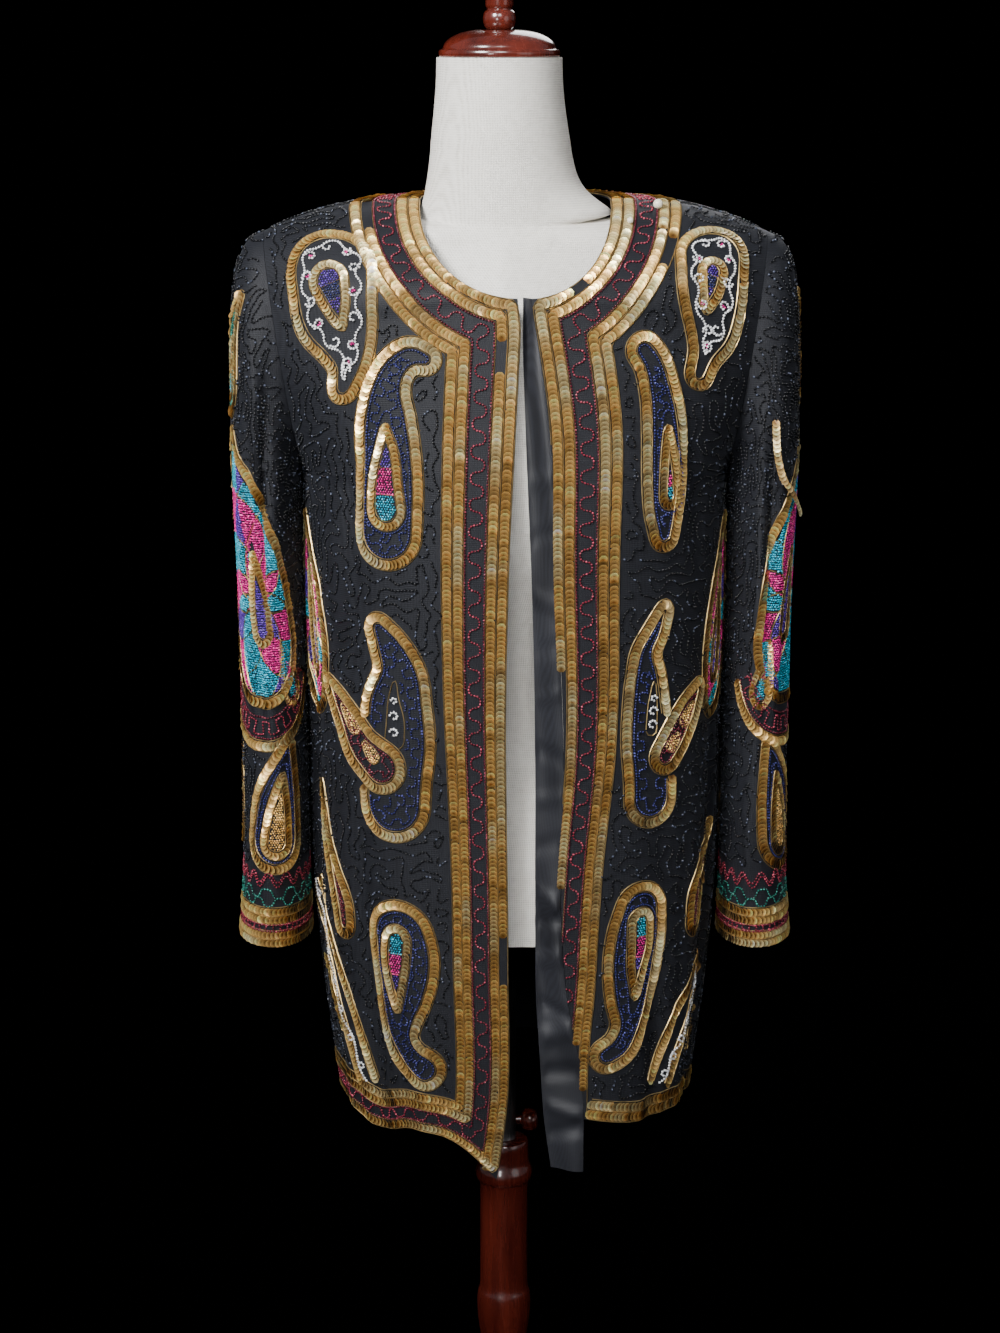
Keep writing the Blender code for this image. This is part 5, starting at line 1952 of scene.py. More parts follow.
def frontBorder(name):
    # The right front's band turns along its hem; the left one's runs off below, under two hem rows
    panel = panels[name]
    given = borderSettings
    flat = panel["flat"]
    corner = cornerRow("frontCorner")
    golds, strip = given["frontGold"], given["frontStrip"]
    hemGold, hemStrip = given["hemGold"][name], given["hemStrip"]
    turnsAtHem = name == "front_right"
    # Each gold row gets its own share of painted reflection
    if turnsAtHem:
        for distance, hemDistance, reflectShare in zip((golds[0], *golds[2:]), hemGold, (0.42, 0.30, 0.18)):
            sequinRow(name, cornerLine(panel, distance, hemDistance), reflectShare=reflectShare, banded=True)
        second = cornerLine(panel, golds[1])
        sequinRow(name, second[second[:, 1] > flat[0, 0, 1] + 0.004], reflectShare=0.35, banded=True)
        edges = [cornerLine(panel, distance, hemDistance) for distance, hemDistance in zip(strip, hemStrip)]
        middle = cornerLine(panel, sum(strip) / 2, sum(hemStrip) / 2)
    else:
        for distance, reflectShare in zip(golds, (0.50, 0.42, 0.25, 0.30)):
            sequinRow(name, cornerLine(panel, distance), reflectShare=reflectShare, banded=True)
        for distance in hemGold:
            hem = offsetLine(flat[0][::-1], -distance, 0.0)
            hem = hem[hem[:, 0] > flat[0, 0, 0] + 0.004]
            sequinRow(name, hem, reflectShare=0.35)
        edges = [cornerLine(panel, distance) for distance in strip]
        middle = cornerLine(panel, sum(strip) / 2)
    for line in edges:
        beadLine(name, line, "maroon")
    along = squiggle(middle, 0.0)
    narrow = ((strip[1] - strip[0]) / 2 - 0.0034) * through(bandCuts[name], along[:, 1])[:, 1]
    if turnsAtHem:
        first = np.flatnonzero(along[:, 1] > flat[0, 0, 1] + 0.025)
        start = first[0] if len(first) else 0
        narrow[:start] = (hemStrip[1] - hemStrip[0]) / 2 - 0.0012
    beadLine(name, squiggle(middle, narrow), "red")
    outer = bandLine(panel, flat[: corner + 1, 0], given["frontWidth"])
    blocked[name].append(np.vstack([outer, flat[: corner + 1, 0][::-1] - (0.05, 0.0)]))
    return [(outer, 0.0012), (flat[corner:, 0], given["frontWidth"] + 0.001), *outerEdges(name)]


def outerEdges(name):
    # The hem, side seam and shoulder seam of a panel, with what the meander keeps clear of them
    flat = panels[name]["flat"]
    return [(flat[0], borderSettings["hemWidth"][name] + 0.001), (flat[:, -1], 0.004), (flat[-1], 0.004)]


def backBorder(name):
    given = borderSettings
    flat = panels[name]["flat"]
    corner = cornerRow("backCorner")
    neck = np.vstack([[(-0.05, flat[corner, 0, 1])], flat[corner:, 0]])

    def neckLine(distance):
        line = offsetLine(neck, -distance, 0.03)
        return line[line[:, 0] > -0.0005]

    # Each gold row gets its own share of painted reflection
    for distance, reflectShare in zip(given["frontGold"], (0.25, 0.15, 0.3, 0.2)):
        sequinRow(name, neckLine(distance), reflectShare=reflectShare)
        if distance == given["frontGold"][1]:
            for edge in given["frontStrip"]:
                beadLine(name, neckLine(edge), "red")
            middle = neckLine(sum(given["frontStrip"]) / 2)
            beadLine(name, squiggle(resample(middle, 0.003), 0.0055), "red")
    for distance, reflectShare in zip(given["hemGold"][name], (0.25, 0.3, 0.2)):
        sequinRow(name, offsetLine(flat[0][::-1], -distance, 0.0), reflectShare=reflectShare)
    for distance in given["hemStrip"]:
        beadLine(name, offsetLine(flat[0][::-1], -distance, 0.0), "red")
    middle = resample(offsetLine(flat[0][::-1], -sum(given["hemStrip"]) / 2, 0.0), 0.003)
    beadLine(name, squiggle(middle, 0.0034), "red")
    return [(neck, given["frontWidth"] + 0.001), *outerEdges(name)]


def cuffBorder(name):
    panel = panels[name]
    given = borderSettings
    cuff = panel["flat"][-1]
    raised = lambda distance: cuff + np.array([0.0, distance])
    # Each gold row gets its own share of painted reflection
    for distance, reflectShare in zip(given["cuffGold"], (0.55, 0.35, 0.2, 0.3)):
        sequinRow(name, raised(distance), reflectShare=reflectShare, size=0.85)
    for distance in given["cuffStrip"]:
        beadLine(name, raised(distance - 0.0005), "red")
    middle = resample(raised(sum(given["cuffStrip"]) / 2), 0.003)
    beadLine(name, wander(middle, 0.012, 0.0026, 0.0020, 2.4), "red")
    for height, period, amplitude, tint, square in given["cuffLines"]:
        beadLine(name, wander(resample(raised(height), 0.003), period, amplitude, 0.0, square), tint)
    return [(cuff, given["cuffClearance"]), (panel["flat"][:, 0], 0.002), (panel["flat"][:, -1], 0.002)]


# Motifs on the fronts, each a row of circles: across from the jacket's centre, height, radius
sideEdge = (
    (0.1605, 0.9650, 0.0220), (0.1605, 1.0050, 0.0310), (0.1665, 1.0500, 0.0270), (0.1755, 1.0950, 0.0120),
    (0.1800, 1.1240, 0.0030),
)
frontMotifs = {
    "front_right": {
        "shoulderDrop": (
            (0.1545, 1.3335, 0.0425), (0.1506, 1.3030, 0.0385), (0.1421, 1.2760, 0.0289),
            (0.1394, 1.2555, 0.0202), (0.1435, 1.2350, 0.0153),
        ),
        "shoulderInner": (
            (0.1559, 1.3235, 0.0185), (0.1500, 1.3049, 0.0132), (0.1439, 1.2871, 0.0055),
            (0.1399, 1.2801, 0.0019),
        ),
        "hookedDrop": (
            (0.1076, 1.1150, 0.0327), (0.1077, 1.1617, 0.0323), (0.1089, 1.2088, 0.0277),
            (0.1082, 1.2336, 0.0219), (0.1001, 1.2520, 0.0186), (0.0850, 1.2629, 0.0164),
            (0.0760, 1.2610, 0.0145),
        ),
        "hookedInner": (
            (0.1093, 1.1338, 0.0182), (0.1092, 1.1533, 0.0166), (0.1081, 1.1839, 0.0110),
            (0.1073, 1.2061, 0.0038), (0.1072, 1.2138, 0.0016),
        ),
        "kidney": (
            (0.1047, 0.8793, 0.0340), (0.1035, 0.9021, 0.0351), (0.1013, 0.9341, 0.0356),
            (0.1004, 0.9642, 0.0334), (0.0988, 0.9958, 0.0252), (0.1091, 1.0206, 0.0185),
            (0.1166, 1.0330, 0.0142),
        ),
        "kidneyLeaf": (
            (0.1022, 0.9357, 0.0091), (0.1024, 0.9525, 0.0081), (0.1023, 0.9708, 0.0052),
            (0.1021, 0.9875, 0.0015),
        ),
        "darkDrop": (
            (0.1161, 0.9105, 0.0244), (0.1303, 0.9274, 0.0215), (0.1430, 0.9475, 0.0175),
            (0.1533, 0.9667, 0.0126), (0.1605, 0.9792, 0.0081),
        ),
        "darkInner": (
            (0.1174, 0.9131, 0.0085), (0.1287, 0.9265, 0.0072), (0.1406, 0.9458, 0.0055),
            (0.1494, 0.9608, 0.0029),
        ),
        "slimDrop": (
            (0.1490, 0.7610, 0.0135), (0.1512, 0.7789, 0.0145), (0.1580, 0.8073, 0.0118),
            (0.1635, 0.8333, 0.0085), (0.1668, 0.8650, 0.0058), (0.1690, 0.9080, 0.0040),
        ),
        "lowPaisley": (
            (0.0994, 0.7625, 0.0335), (0.0972, 0.7460, 0.0350), (0.0985, 0.7151, 0.0309),
            (0.0993, 0.6929, 0.0248), (0.0974, 0.6707, 0.0194), (0.0901, 0.6550, 0.0194),
            (0.0802, 0.6472, 0.0203),
        ),
        "lowInner": (
            (0.1024, 0.7587, 0.0151), (0.1025, 0.7416, 0.0151), (0.1023, 0.7173, 0.0105),
            (0.1016, 0.6951, 0.0046), (0.1015, 0.6829, 0.0015),
        ),
        "vine": (
            (0.1760, 0.7854, 0.0090), (0.1610, 0.7306, 0.0090), (0.1440, 0.6751, 0.0090),
            (0.1300, 0.6191, 0.0090),
        ),
        "smallLeaf": ((0.1513, 0.6617, 0.0045), (0.1604, 0.6907, 0.0052), (0.1675, 0.7151, 0.0025)),
    },
    "front_left": {
        "shoulderDrop": (
            (0.1650, 1.3420, 0.0352), (0.1635, 1.3100, 0.0325), (0.1631, 1.2823, 0.0249),
            (0.1583, 1.2635, 0.0165), (0.1528, 1.2454, 0.0140),
        ),
        "shoulderInner": (
            (0.1643, 1.3289, 0.0143), (0.1617, 1.3153, 0.0115), (0.1595, 1.3013, 0.0060),
            (0.1588, 1.2919, 0.0019),
        ),
        "hookedDrop": (
            (0.1245, 1.1119, 0.0152), (0.1234, 1.1338, 0.0199), (0.1244, 1.1617, 0.0226),
            (0.1250, 1.2005, 0.0217), (0.1197, 1.2336, 0.0186), (0.1111, 1.2596, 0.0169),
            (0.1056, 1.2678, 0.0164),
        ),
        "hookedInner": (
            (0.1291, 1.1436, 0.0116), (0.1288, 1.1673, 0.0099), (0.1273, 1.1922, 0.0060),
            (0.1262, 1.2143, 0.0019),
        ),
        "kidney": (
            (0.1156, 0.8831, 0.0258), (0.1149, 0.9021, 0.0258), (0.1137, 0.9357, 0.0255),
            (0.1119, 0.9642, 0.0232), (0.1108, 0.9908, 0.0194), (0.1101, 1.0123, 0.0148),
            (0.1187, 1.0305, 0.0135), (0.1257, 1.0494, 0.0100),
        ),
        "kidneyLeaf": ((0.1154, 0.9441, 0.0052), (0.1158, 0.9642, 0.0046), (0.1172, 0.9875, 0.0016)),
        "darkDrop": (
            (0.1282, 0.9198, 0.0171), (0.1385, 0.9391, 0.0182), (0.1488, 0.9591, 0.0159),
            (0.1574, 0.9775, 0.0100),
        ),
        "darkInner": (
            (0.1298, 0.9223, 0.0065), (0.1385, 0.9391, 0.0072), (0.1480, 0.9558, 0.0058),
            (0.1535, 0.9675, 0.0029),
        ),
        "slimDrop": (
            (0.1567, 0.7636, 0.0140), (0.1591, 0.7920, 0.0149), (0.1651, 0.8212, 0.0115),
            (0.1707, 0.8464, 0.0050), (0.1737, 0.8628, 0.0017),
        ),
        "lowPaisley": (
            (0.1097, 0.7852, 0.0258), (0.1054, 0.7646, 0.0296), (0.1029, 0.7371, 0.0296),
            (0.1011, 0.7094, 0.0245), (0.0991, 0.6855, 0.0185), (0.0887, 0.6666, 0.0174),
            (0.0795, 0.6576, 0.0166),
        ),
        "lowInner": (
            (0.1089, 0.7744, 0.0136), (0.1078, 0.7548, 0.0136), (0.1061, 0.7351, 0.0104),
            (0.1039, 0.7153, 0.0058), (0.1024, 0.6975, 0.0015),
        ),
        "vine": (
            (0.1602, 0.7213, 0.0105), (0.1503, 0.6895, 0.0105), (0.1376, 0.6576, 0.0105),
            (0.1257, 0.6235, 0.0105),
        ),
        "smallLeaf": ((0.1510, 0.6416, 0.0042), (0.1546, 0.6596, 0.0048), (0.1571, 0.6756, 0.0024)),
    },
}
# Field, share of painted reflection in the gold, patches of the inner drop, and that drop's name
bodyLooks = {
    "shoulderDrop": ("scroll", 0.40, ("purple", "navy", "purple"), "shoulderInner"),
    "hookedDrop": ("navy", 0.45, ("turquoise", "magenta", "purple"), "hookedInner"),
    "lowPaisley": ("navy", 0.30, ("turquoise", "magenta", "purple"), "lowInner"),
    "darkDrop": ("maroon", 0.25, ("maroon", "brownGold"), "darkInner"),
}


def flatRows(panel, rows, facing):
    # The same circles on the panel's flat pattern
    places = [flatFromFront(panel, across, height, facing) for across, height, _ in rows]
    return np.array([(*place, row[2]) for place, row in zip(places, rows)])


def bodyMotifs(name, motifs, facing):
    panel = panels[name]
    rows = {key: flatRows(panel, motif, facing) for key, motif in motifs.items()}
    for key in ("shoulderDrop", "hookedDrop", "lowPaisley", "darkDrop"):
        field, reflectShare, patches, innerKey = bodyLooks[key]
        shape = {"spine": rows[key], "field": field, "reflectShare": reflectShare, "patches": patches}
        if key == "darkDrop":
            goldDrops(name, rows[innerKey])
        else:
            shape["inner"] = rows[innerKey]
        beadedPaisley(name, shape)
    kidneyMotif(name, rows)
    outline = spineOutline(rows["slimDrop"])
    goldOutline(name, outline, 0.2)
    core = insetOutline(outline, 0.0100)
    if core is not None:
        fillBeads(name, core, lambda point: "maroon")
    vineBand(name, rows["vine"])
    blocked[name].append(spineOutline(rows["smallLeaf"]))
    sequinRow(name, rows["smallLeaf"][:, :2], reflectShare=0.1)
    side = flatRows(panel, sideEdge, facing)
    side[:, 0] += side[:, 2]
    inner = dropSpine(between(side[0, :2], side[1, :2], 0.2), side[3, :2] - (0.004, 0.0), 0.024)
    mosaicLeaf(name, {"spine": side, "inner": inner, "spokes": 7, "ringAt": 0.020})


kidneySettings = {
    # Share of painted reflection in its gold
    "reflectShare": 0.42,
    "coverGap": 0.003,
    "beadGap": 0.0028,
    # Inset, amplitude and swing of its bead lines
    "lines": ((0.0118, 0.0, 0.0), (0.0180, 0.0034, 0.0018), (0.0280, 0.0038, 0.0020)),
    "period": 0.0170,
    # Share of the way up the leaf and size of its white curls
    "curls": ((0.12, 0.0042), (0.40, 0.0042), (0.66, 0.00315)),
}


def kidneyMotif(name, rows):
    # The kidney runs on under the dark drop, so its rows stop there
    given = kidneySettings
    cover = spineOutline(rows["darkDrop"])
    leafRows = rows["kidneyLeaf"]
    leaf = spineOutline(leafRows)
    outline = spineOutline(rows["kidney"])
    centre = insetOutline(outline, embroiderySettings["rowHalf"])
    blocked[name].append(outline)
    clear = centre[~inside(centre, cover)]
    clear = clear[nearest(clear, resample(cover, 0.001, True)) > given["coverGap"]]
    for piece in joinRing(splitPath(clear, 0.006)):
        sequinRow(name, piece, reflectShare=given["reflectShare"])
    avoid = np.vstack([resample(cover, 0.001, True), resample(leaf, 0.001, True)])
    for inset, wide, swing in given["lines"]:
        line = insetOutline(outline, inset)
        if line is None:
            continue
        if wide:
            line = wander(line, given["period"], wide, swing, 1.2, True)
        line = line[~inside(line, cover)]
        line = line[~inside(line, leaf)] if len(line) else line
        line = line[nearest(line, avoid) > given["beadGap"]] if len(line) else line
        for piece in splitPath(line, 0.004):
            beadLine(name, piece, "navy")
    for piece in joinRing(splitPath(leaf[~inside(leaf, cover)], 0.006)):
        cordLine(name, piece)
    turn = np.linspace(0.2, 1.55 * np.pi, 18)
    for share, size in given["curls"]:
        spot = between(leafRows[0, :2], leafRows[-1, :2], share)
        radius = size * (1 - 0.45 * turn / turn[-1])
        if not inside(spot[None], cover)[0]:
            beadLine(name, spot + radius[:, None] * onCircle(turn), "white", False, "scroll")


def goldDrops(name, rows):
    # Two small drops packed with gold beads and edged with thread, one after the other
    base, tip = rows[0, :2], rows[-1, :2]
    for low, high, width in ((0.0, 0.40, 0.0125), (0.48, 1.0, 0.0135)):
        drop = spineOutline(dropSpine(between(base, tip, low), between(base, tip, high), width))
        cordLine(name, drop, True)
        fillBeads(name, drop, lambda point: "gold", 0.0008)


def joinRing(pieces):
    # The first and last piece of a broken ring are one piece
    if len(pieces) > 1 and np.linalg.norm(pieces[0][0] - pieces[-1][-1]) < 0.005:
        return [np.vstack([pieces[-1], pieces[0]]), *pieces[1:-1]]
    return pieces


def vineBand(name, rows):
    # Two gold rows with a white vine between them
    spine = smoothPath(rows[:, :2], 2)
    half = rows[0, 2]
    ways = pathNormals(spine)
    for way in (-1, 1):
        sequinRow(name, spine + ways * way * half, reflectShare=0.25, size=0.9)
    for piece in scroll(rows[0, :2], rows[-1, :2], 7, 0.0044, 0.0030):
        beadLine(name, piece, "white", False, "scroll")
    away = ways * (half + 0.005)
    blocked[name].append(np.vstack([spine + away, (spine - away)[::-1]]))


# Motifs on the sleeves: x runs round the arm from its front, outward; y is the height
sleeveMotifs = {
    "leaf": (
        (0.012, 1.012, 0.060), (0.026, 1.060, 0.064), (0.050, 1.110, 0.050), (0.072, 1.155, 0.026),
        (0.084, 1.190, 0.006),
    ),
    "leafInner": (
        (0.008, 1.022, 0.0160), (0.012, 1.044, 0.0150), (0.019, 1.074, 0.0080), (0.024, 1.098, 0.0018),
    ),
    "smallDrop": (
        (-0.034, 0.968, 0.0165), (-0.030, 0.982, 0.0140), (-0.022, 1.004, 0.0060), (-0.018, 1.014, 0.0016),
    ),
    "navyDrop": (
        (-0.002, 0.836, 0.0330), (-0.006, 0.868, 0.0300), (-0.014, 0.898, 0.0200), (-0.022, 0.920, 0.0100),
    ),
    "navyInner": (
        (-0.003, 0.833, 0.0170), (-0.006, 0.860, 0.0140), (-0.010, 0.886, 0.0070), (-0.013, 0.900, 0.0018),
    ),
    "outerDrop": (
        (0.096, 1.226, 0.0270), (0.098, 1.252, 0.0240), (0.095, 1.280, 0.0160), (0.088, 1.302, 0.0100),
    ),
    "outerInner": (
        (0.096, 1.226, 0.0135), (0.097, 1.246, 0.0110), (0.095, 1.268, 0.0050), (0.094, 1.278, 0.0018),
    ),
    "backLeaf": (
        (0.160, 1.000, 0.0360), (0.158, 1.050, 0.0340), (0.152, 1.100, 0.0200), (0.146, 1.140, 0.0050),
    ),
    "backLeafInner": (
        (0.160, 1.000, 0.0130), (0.159, 1.025, 0.0110), (0.157, 1.055, 0.0050), (0.156, 1.066, 0.0018),
    ),
    "backDrop": (
        (0.152, 0.846, 0.0300), (0.155, 0.878, 0.0260), (0.162, 0.910, 0.0160), (0.170, 0.932, 0.0100),
    ),
    "backInner": (
        (0.152, 0.845, 0.0150), (0.154, 0.866, 0.0120), (0.157, 0.888, 0.0060), (0.160, 0.900, 0.0018),
    ),
    "sideDrop": (
        (0.076, 0.842, 0.0260), (0.078, 0.872, 0.0230), (0.083, 0.902, 0.0130), (0.087, 0.924, 0.0070),
    ),
    "sideInner": (
        (0.076, 0.841, 0.0130), (0.077, 0.858, 0.0110), (0.079, 0.878, 0.0050), (0.080, 0.888, 0.0018),
    ),
}


sleeveMotifSettings = {
    # The left sleeve hangs with its pattern turned outward
    "leftTurned": 0.036,
    # The dark crescent: degrees from and to, then the radii of its parts
    "crescentTurn": (205, 335),
    "crescentGold": 0.0930,
    "crescentBeads": (0.0675, 0.0860),
    "crescentSquiggle": 0.0768,
    "crescentEdges": (0.056, 0.099),
}


def decorateSleeve(name):
    fixed = sleeveMotifSettings
    turned = fixed["leftTurned"] if name == "sleeve_left" else 0.0
    given = {key: np.array(rows) + (turned, 0.0, 0.0) for key, rows in sleeveMotifs.items()}
    edges = cuffBorder(name)
    leaf = {"spine": given["leaf"], "inner": given["leafInner"], "spokes": 9, "ringAt": 0.024}
    mosaicLeaf(name, leaf)
    # A dark crescent hugs the leaf's lower end, with a small bright drop over it
    middle = given["leaf"][0, :2]
    turn = np.radians(np.linspace(*fixed["crescentTurn"], 50))
    arc = lambda radius: middle + radius * onCircle(turn)
    sequinRow(name, arc(fixed["crescentGold"]), reflectShare=0.45)
    for radius in fixed["crescentBeads"]:
        beadLine(name, arc(radius), "maroon")
    beadLine(name, wander(arc(fixed["crescentSquiggle"]), 0.020, 0.0058, 0.0026, 2.4), "red")
    near, far = fixed["crescentEdges"]
    blocked[name].append(np.vstack([arc(near), arc(far)[::-1]]))
    small = given["smallDrop"]
    outline = spineOutline(small)
    goldOutline(name, outline, 0.3, 0.6)
    patchDrop(name, outline, small[0, :2], small[-1, :2], ("turquoise", "magenta"))
    for key, innerKey, field, patches in (
        ("navyDrop", "navyInner", "navy", ("brownGold", "gold")),
        ("outerDrop", "outerInner", "green", ("turquoise", "brownGold")),
        ("backDrop", "backInner", "navy", ("magenta", "purple")),
        ("sideDrop", "sideInner", "maroon", ("turquoise", "purple")),
    ):
        shape = {"spine": given[key], "inner": given[innerKey], "field": field}
        beadedPaisley(name, {**shape, "reflectShare": 0.35, "patches": patches})
    leaf = {"spine": given["backLeaf"], "inner": given["backLeafInner"], "spokes": 7, "ringAt": 0.020}
    mosaicLeaf(name, leaf)
    groundMeander(name, edges)


def decorateBody():
    for name in panels:
        if name.startswith("sleeve"):
            decorateSleeve(name)
        elif name.startswith("front"):
            edges = frontBorder(name)
            bodyMotifs(name, frontMotifs[name], -1)
            groundMeander(name, edges)
        else:
            edges = backBorder(name)
            bodyMotifs(name, frontMotifs["front_right"], 1)
            groundMeander(name, edges)
        print("beaded", name)


decorateBody()


# Joined meshes of sequins, thread and beads

def joinRows(rows):
    # Places, tangents, normals and colours of all rows, each as one array
    return (np.concatenate([row[k] for row in rows]) for k in range(4))


def sequinMesh(name, rows):
    # Each sequin is a shallow cup, tipped up along its row
    given, look = embroiderySettings, sequinLook
    sides = given["sequinSides"]
    place, tangent, normal, colour = joinRows(rows)
    radius = np.concatenate([row[4] for row in rows])[:, None]
    count = len(place)
    across = np.cross(normal, tangent)
    tilt = np.radians(given["sequinTilt"] + noiseDraw.normal(0, look["tiltSpread"], count))[:, None]
    roll = np.radians(noiseDraw.normal(0, look["rollSpread"], count))[:, None]
    forward = tangent * np.cos(tilt) + normal * np.sin(tilt)
    upward = normal * np.cos(tilt) - tangent * np.sin(tilt)
    sideways = across * np.cos(roll) + upward * np.sin(roll)
    upward = unit(np.cross(forward, sideways))
    centre = place + normal * given["sequinLift"] * radius / given["sequinRadius"]
    turns = 2 * np.pi * (np.arange(sides) + 0.5) / sides
    rim = [centre + radius * (forward * math.cos(t) + sideways * math.sin(t)) for t in turns]
    hollows = [centre - upward * radius * deep for deep in look["hollows"]]
    points = np.stack([*rim, *hollows], axis=1)
    base = (np.arange(count) * (sides + 2))[:, None]
    ring = np.arange(sides)
    upper = np.stack([ring, (ring + 1) % sides, np.full(sides, sides)], axis=1)
    lower = np.stack([(ring + 1) % sides, ring, np.full(sides, sides + 1)], axis=1)
    pattern = np.concatenate([upper, lower])
    faces = (base[:, :, None] + pattern[None]).reshape(-1, 3)
    # Painted light: the rims are painted bright, brightest at the front, and the hollows get a painted deep
    # amber shade
    middle, swing, least = look["rimShade"]
    shade = np.append(np.maximum(middle + swing * np.cos(turns), least), look["hollowShade"])
    shade = shade[:, None] ** np.array(look["shadePower"])
    shaded = np.minimum(colour[:, None] * shade[None], 1.0).reshape(-1, 3)
    made = meshObject(name, points.reshape(-1, 3), faces, "sequins", False, shaded)
    keepPiece(made, "gold_sequins")
    return len(faces)


def beadMesh(name, rows, slotName):
    # Each bead is a four-sided double pyramid along its thread
    place, tangent, normal, colour = joinRows(rows)
    long, wide = (np.concatenate([np.full(len(row[0]), row[4][k]) for row in rows])[:, None] for k in (0, 1))
    count = len(place)
    across = np.cross(normal, tangent)
    spin = noiseDraw.uniform(0, 0.5 * np.pi, count)[:, None]
    first = normal * np.cos(spin) + across * np.sin(spin)
    second = across * np.cos(spin) - normal * np.sin(spin)
    centre = place + normal * wide * 0.8
    ends = (tangent * long, -tangent * long)
    waist = (first * wide, second * wide, -first * wide, -second * wide)
    points = np.stack([centre + way for way in (*ends, *waist)], axis=1)
    pattern = np.array([(0, 2, 3), (0, 3, 4), (0, 4, 5), (0, 5, 2), (1, 3, 2), (1, 4, 3), (1, 5, 4), (1, 2, 5)])
    faces = ((np.arange(count) * 6)[:, None, None] + pattern[None]).reshape(-1, 3)
    made = meshObject(name, points.reshape(-1, 3), faces, "beads", True, np.repeat(colour, 6, axis=0))
    keepPiece(made, slotName)
    return len(faces)


def cordMesh(name, runs):
    given = embroiderySettings
    allPoints, allFaces, allTints = [], [], []
    start = 0
    for place, tangent, normal in runs:
        count = len(place)
        if count < 2:
            continue
        across = np.cross(normal, tangent)
        centre = place + normal * given["cordLift"]
        ways = ((1, 0), (-0.5, 0.87), (-0.5, -0.87))
        corners = [centre + given["cordRadius"] * (normal * a + across * b) for a, b in ways]
        points = np.stack(corners, axis=1).reshape(-1, 3)
        ring = np.arange(3)
        first = (np.arange(count - 1) * 3)[:, None] + ring
        after = (np.arange(count - 1) * 3)[:, None] + (ring + 1) % 3
        quads = np.stack([first, after, after + 3, first + 3], axis=2).reshape(-1, 4)
        ends = np.array([(0, 2, 1), (count * 3 - 3, count * 3 - 2, count * 3 - 1)])
        triangles = np.concatenate([quads[:, (0, 1, 2)], quads[:, (0, 2, 3)], ends])
        allPoints.append(points)
        allFaces.append(triangles + start)
        colour = np.array(tints["thread"]) * noiseDraw.uniform(0.6, 1.2, (count, 1))
        allTints.append(np.repeat(colour, 3, axis=0))
        start += len(points)
    points, faces, colours = (np.concatenate(parts) for parts in (allPoints, allFaces, allTints))
    made = meshObject(name, points, faces, "cord", False, colours)
    keepPiece(made, "gold_sequins")
    return len(faces)


# Two pearls on the left shoulder, and a string of sequins that hangs off the left sleeve
looseSettings = {
    # across, height, radius
    "pearls": ((0.121, 1.376, 0.0042), (0.0965, 1.366, 0.0027)),
    "string": ((0.2205, 1.202), (0.2225, 1.160), (0.2375, 1.122)),
    "stringLift": (0.0015, 0.0055),
}


def loosePearls():
    shoulder = panels["front_left"]
    mesh = bpy.data.meshes.new("loose_pearl")
    ball = bmesh.new()
    for across, height, radius in looseSettings["pearls"]:
        place, normal, _ = lift(shoulder, [flatFromFront(shoulder, across, height)])
        made = bmesh.ops.create_icosphere(ball, subdivisions=3, radius=radius)
        bmesh.ops.translate(ball, verts=made["verts"], vec=Vector(place[0] + normal[0] * (radius + 0.0018)))
    ball.to_mesh(mesh)
    ball.free()
    mesh.shade_smooth()
    colour = np.array([(*tints["pearl"], 1.0)] * len(mesh.vertices), np.float32)
    mesh.attributes.new("tint", "FLOAT_COLOR", "POINT").data.foreach_set("color", colour.ravel())
    keepPiece(addObject("loose_pearl", mesh, "beads"), "glass_beads")


def looseString():
    sleeve = panels["sleeve_left"]
    given = embroiderySettings
    spots = [flatFromFront(sleeve, across, height) for across, height in looseSettings["string"]]
    near, far = looseSettings["stringLift"]
    for place, tangent, normal in hang(sleeve, smoothPath(np.array(spots), 2), given["sequinSpacing"]):
        out = near + far * softStep(0.0, 1.0, np.linspace(0, 1, len(place)))[:, None]
        # This string's gold is mostly painted reflection
        colour = goldAndGlints(len(place), given["sequinSpacing"], 0.8)
        radius = np.full(len(place), given["sequinRadius"] * 0.8)
        sequinMesh("loose_sequins", [(place + normal * out, tangent, normal, colour, radius)])


def makeEmbroidery():
    total = 0
    for name, parts in stitches.items():
        counts = [
            sequinMesh(name + "_sequins", parts["sequins"]),
            cordMesh(name + "_thread", parts["cord"]),
            beadMesh(name + "_ground_beads", parts["ground"], "glass_beads"),
            beadMesh(name + "_bright_beads", parts["beads"], "glass_beads"),
        ]
        total += sum(counts)
        print(name, "sequins, thread, ground beads, bright beads:", counts)
    print("embroidery triangles:", total)


makeEmbroidery()
loosePearls()
looseString()


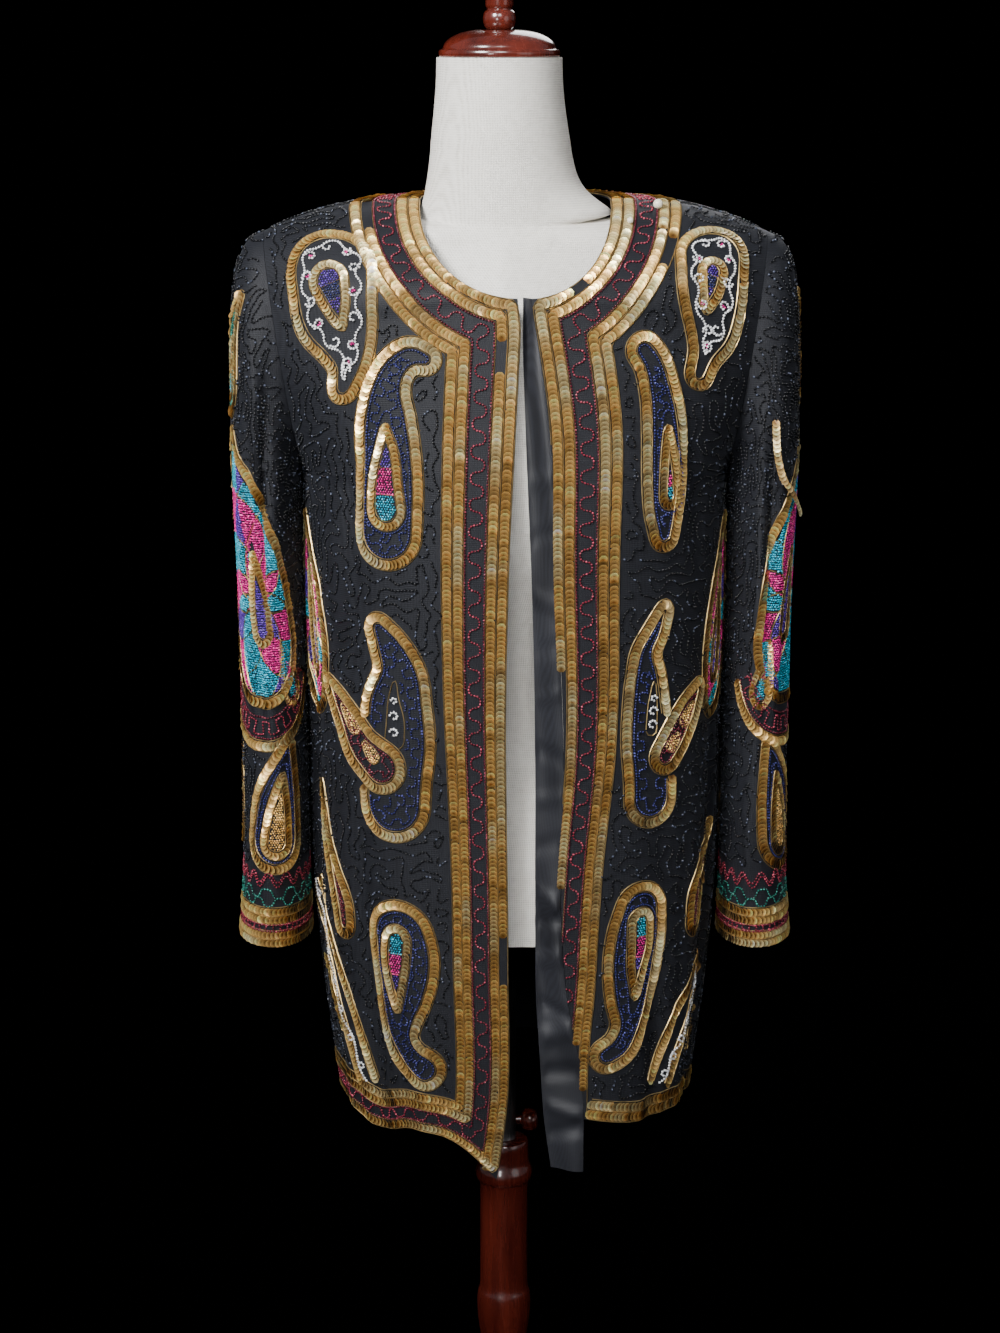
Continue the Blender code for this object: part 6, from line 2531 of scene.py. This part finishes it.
# Floor, light and camera
stageSettings = {
    "floorSize": 40.0,
    "floorColour": (0.0006, 0.0006, 0.0007),
    "wallAway": 14.0,
    "worldColour": (0.80, 0.83, 0.90),
    "worldStrength": 0.20,
    # name, place, aim, size, power
    "lights": (
        ("key", (-1.6, -2.2, 2.9), (0.0, 0.0, 1.42), 1.2, 13.5),
        ("fill", (2.6, -2.2, 1.6), (0.0, 0.0, 1.15), 2.0, 10.0),
        ("low", (-0.5, -2.6, 0.25), (0.0, 0.0, 1.0), 1.6, 1.2),
        ("front", (0.1, -3.0, 2.9), (0.0, 0.0, 1.25), 1.6, 3.0),
        ("back", (0.6, 2.6, 2.8), (0.0, 0.0, 1.1), 1.6, 30.0),
        ("strip", (-0.9, -3.2, 1.4), (0.0, 0.0, 1.0), 0.6, 17.0),
    ),
    "lightSpread": {"key": 44, "front": 30},
    "cameraPlace": (-0.0035, -2.42, 1.525),
    "cameraPitch": 12.8,
    "lens": 75.6,
}


def makeStage():
    given = stageSettings
    mesh = bpy.data.meshes.new("floor")
    half, away = given["floorSize"] / 2, given["wallAway"]
    ground = [(-half, -half, 0), (half, -half, 0), (half, away, 0), (-half, away, 0)]
    mesh.from_pydata([*ground, (half, away, half), (-half, away, half)], [], [(0, 1, 2, 3), (3, 2, 4, 5)])
    made, tree, shader = newMaterial("floor_paint")
    low = tuple(c * 0.97 for c in given["floorColour"])
    noise = noiseNode(tree, 3.0)
    tree.links.new(mixNode(tree, noise.outputs[0], low, given["floorColour"]), shader.inputs["Base Color"])
    setInputs(shader, {"Roughness": 1.0, "Specular IOR Level": 0.0})
    mesh.materials.append(made)
    floor = addObject("floor", mesh)
    world = bpy.data.worlds.new("studio")
    world.use_nodes = True
    background = world.node_tree.nodes["Background"]
    background.inputs[0].default_value = (*given["worldColour"], 1.0)
    background.inputs[1].default_value = given["worldStrength"]
    scene.world = world
    for name, place, aim, size, power in given["lights"]:
        light = bpy.data.lights.new(name, "AREA")
        light.shape = "DISK"
        light.size = size
        light.energy = power
        light.spread = math.radians(given["lightSpread"].get(name, 180))
        lamp = addObject(name, light)
        lamp.location = place
        lamp.rotation_euler = (Vector(aim) - Vector(place)).to_track_quat("-Z", "Y").to_euler()
    lens = bpy.data.cameras.new("camera")
    lens.sensor_fit = "AUTO"
    lens.sensor_width = 36.0
    lens.lens = given["lens"]
    camera = addObject("camera", lens)
    camera.location = given["cameraPlace"]
    camera.rotation_euler = (math.radians(90 - given["cameraPitch"]), 0.0, 0.0)
    scene.camera = camera


makeStage()
print("stage set")
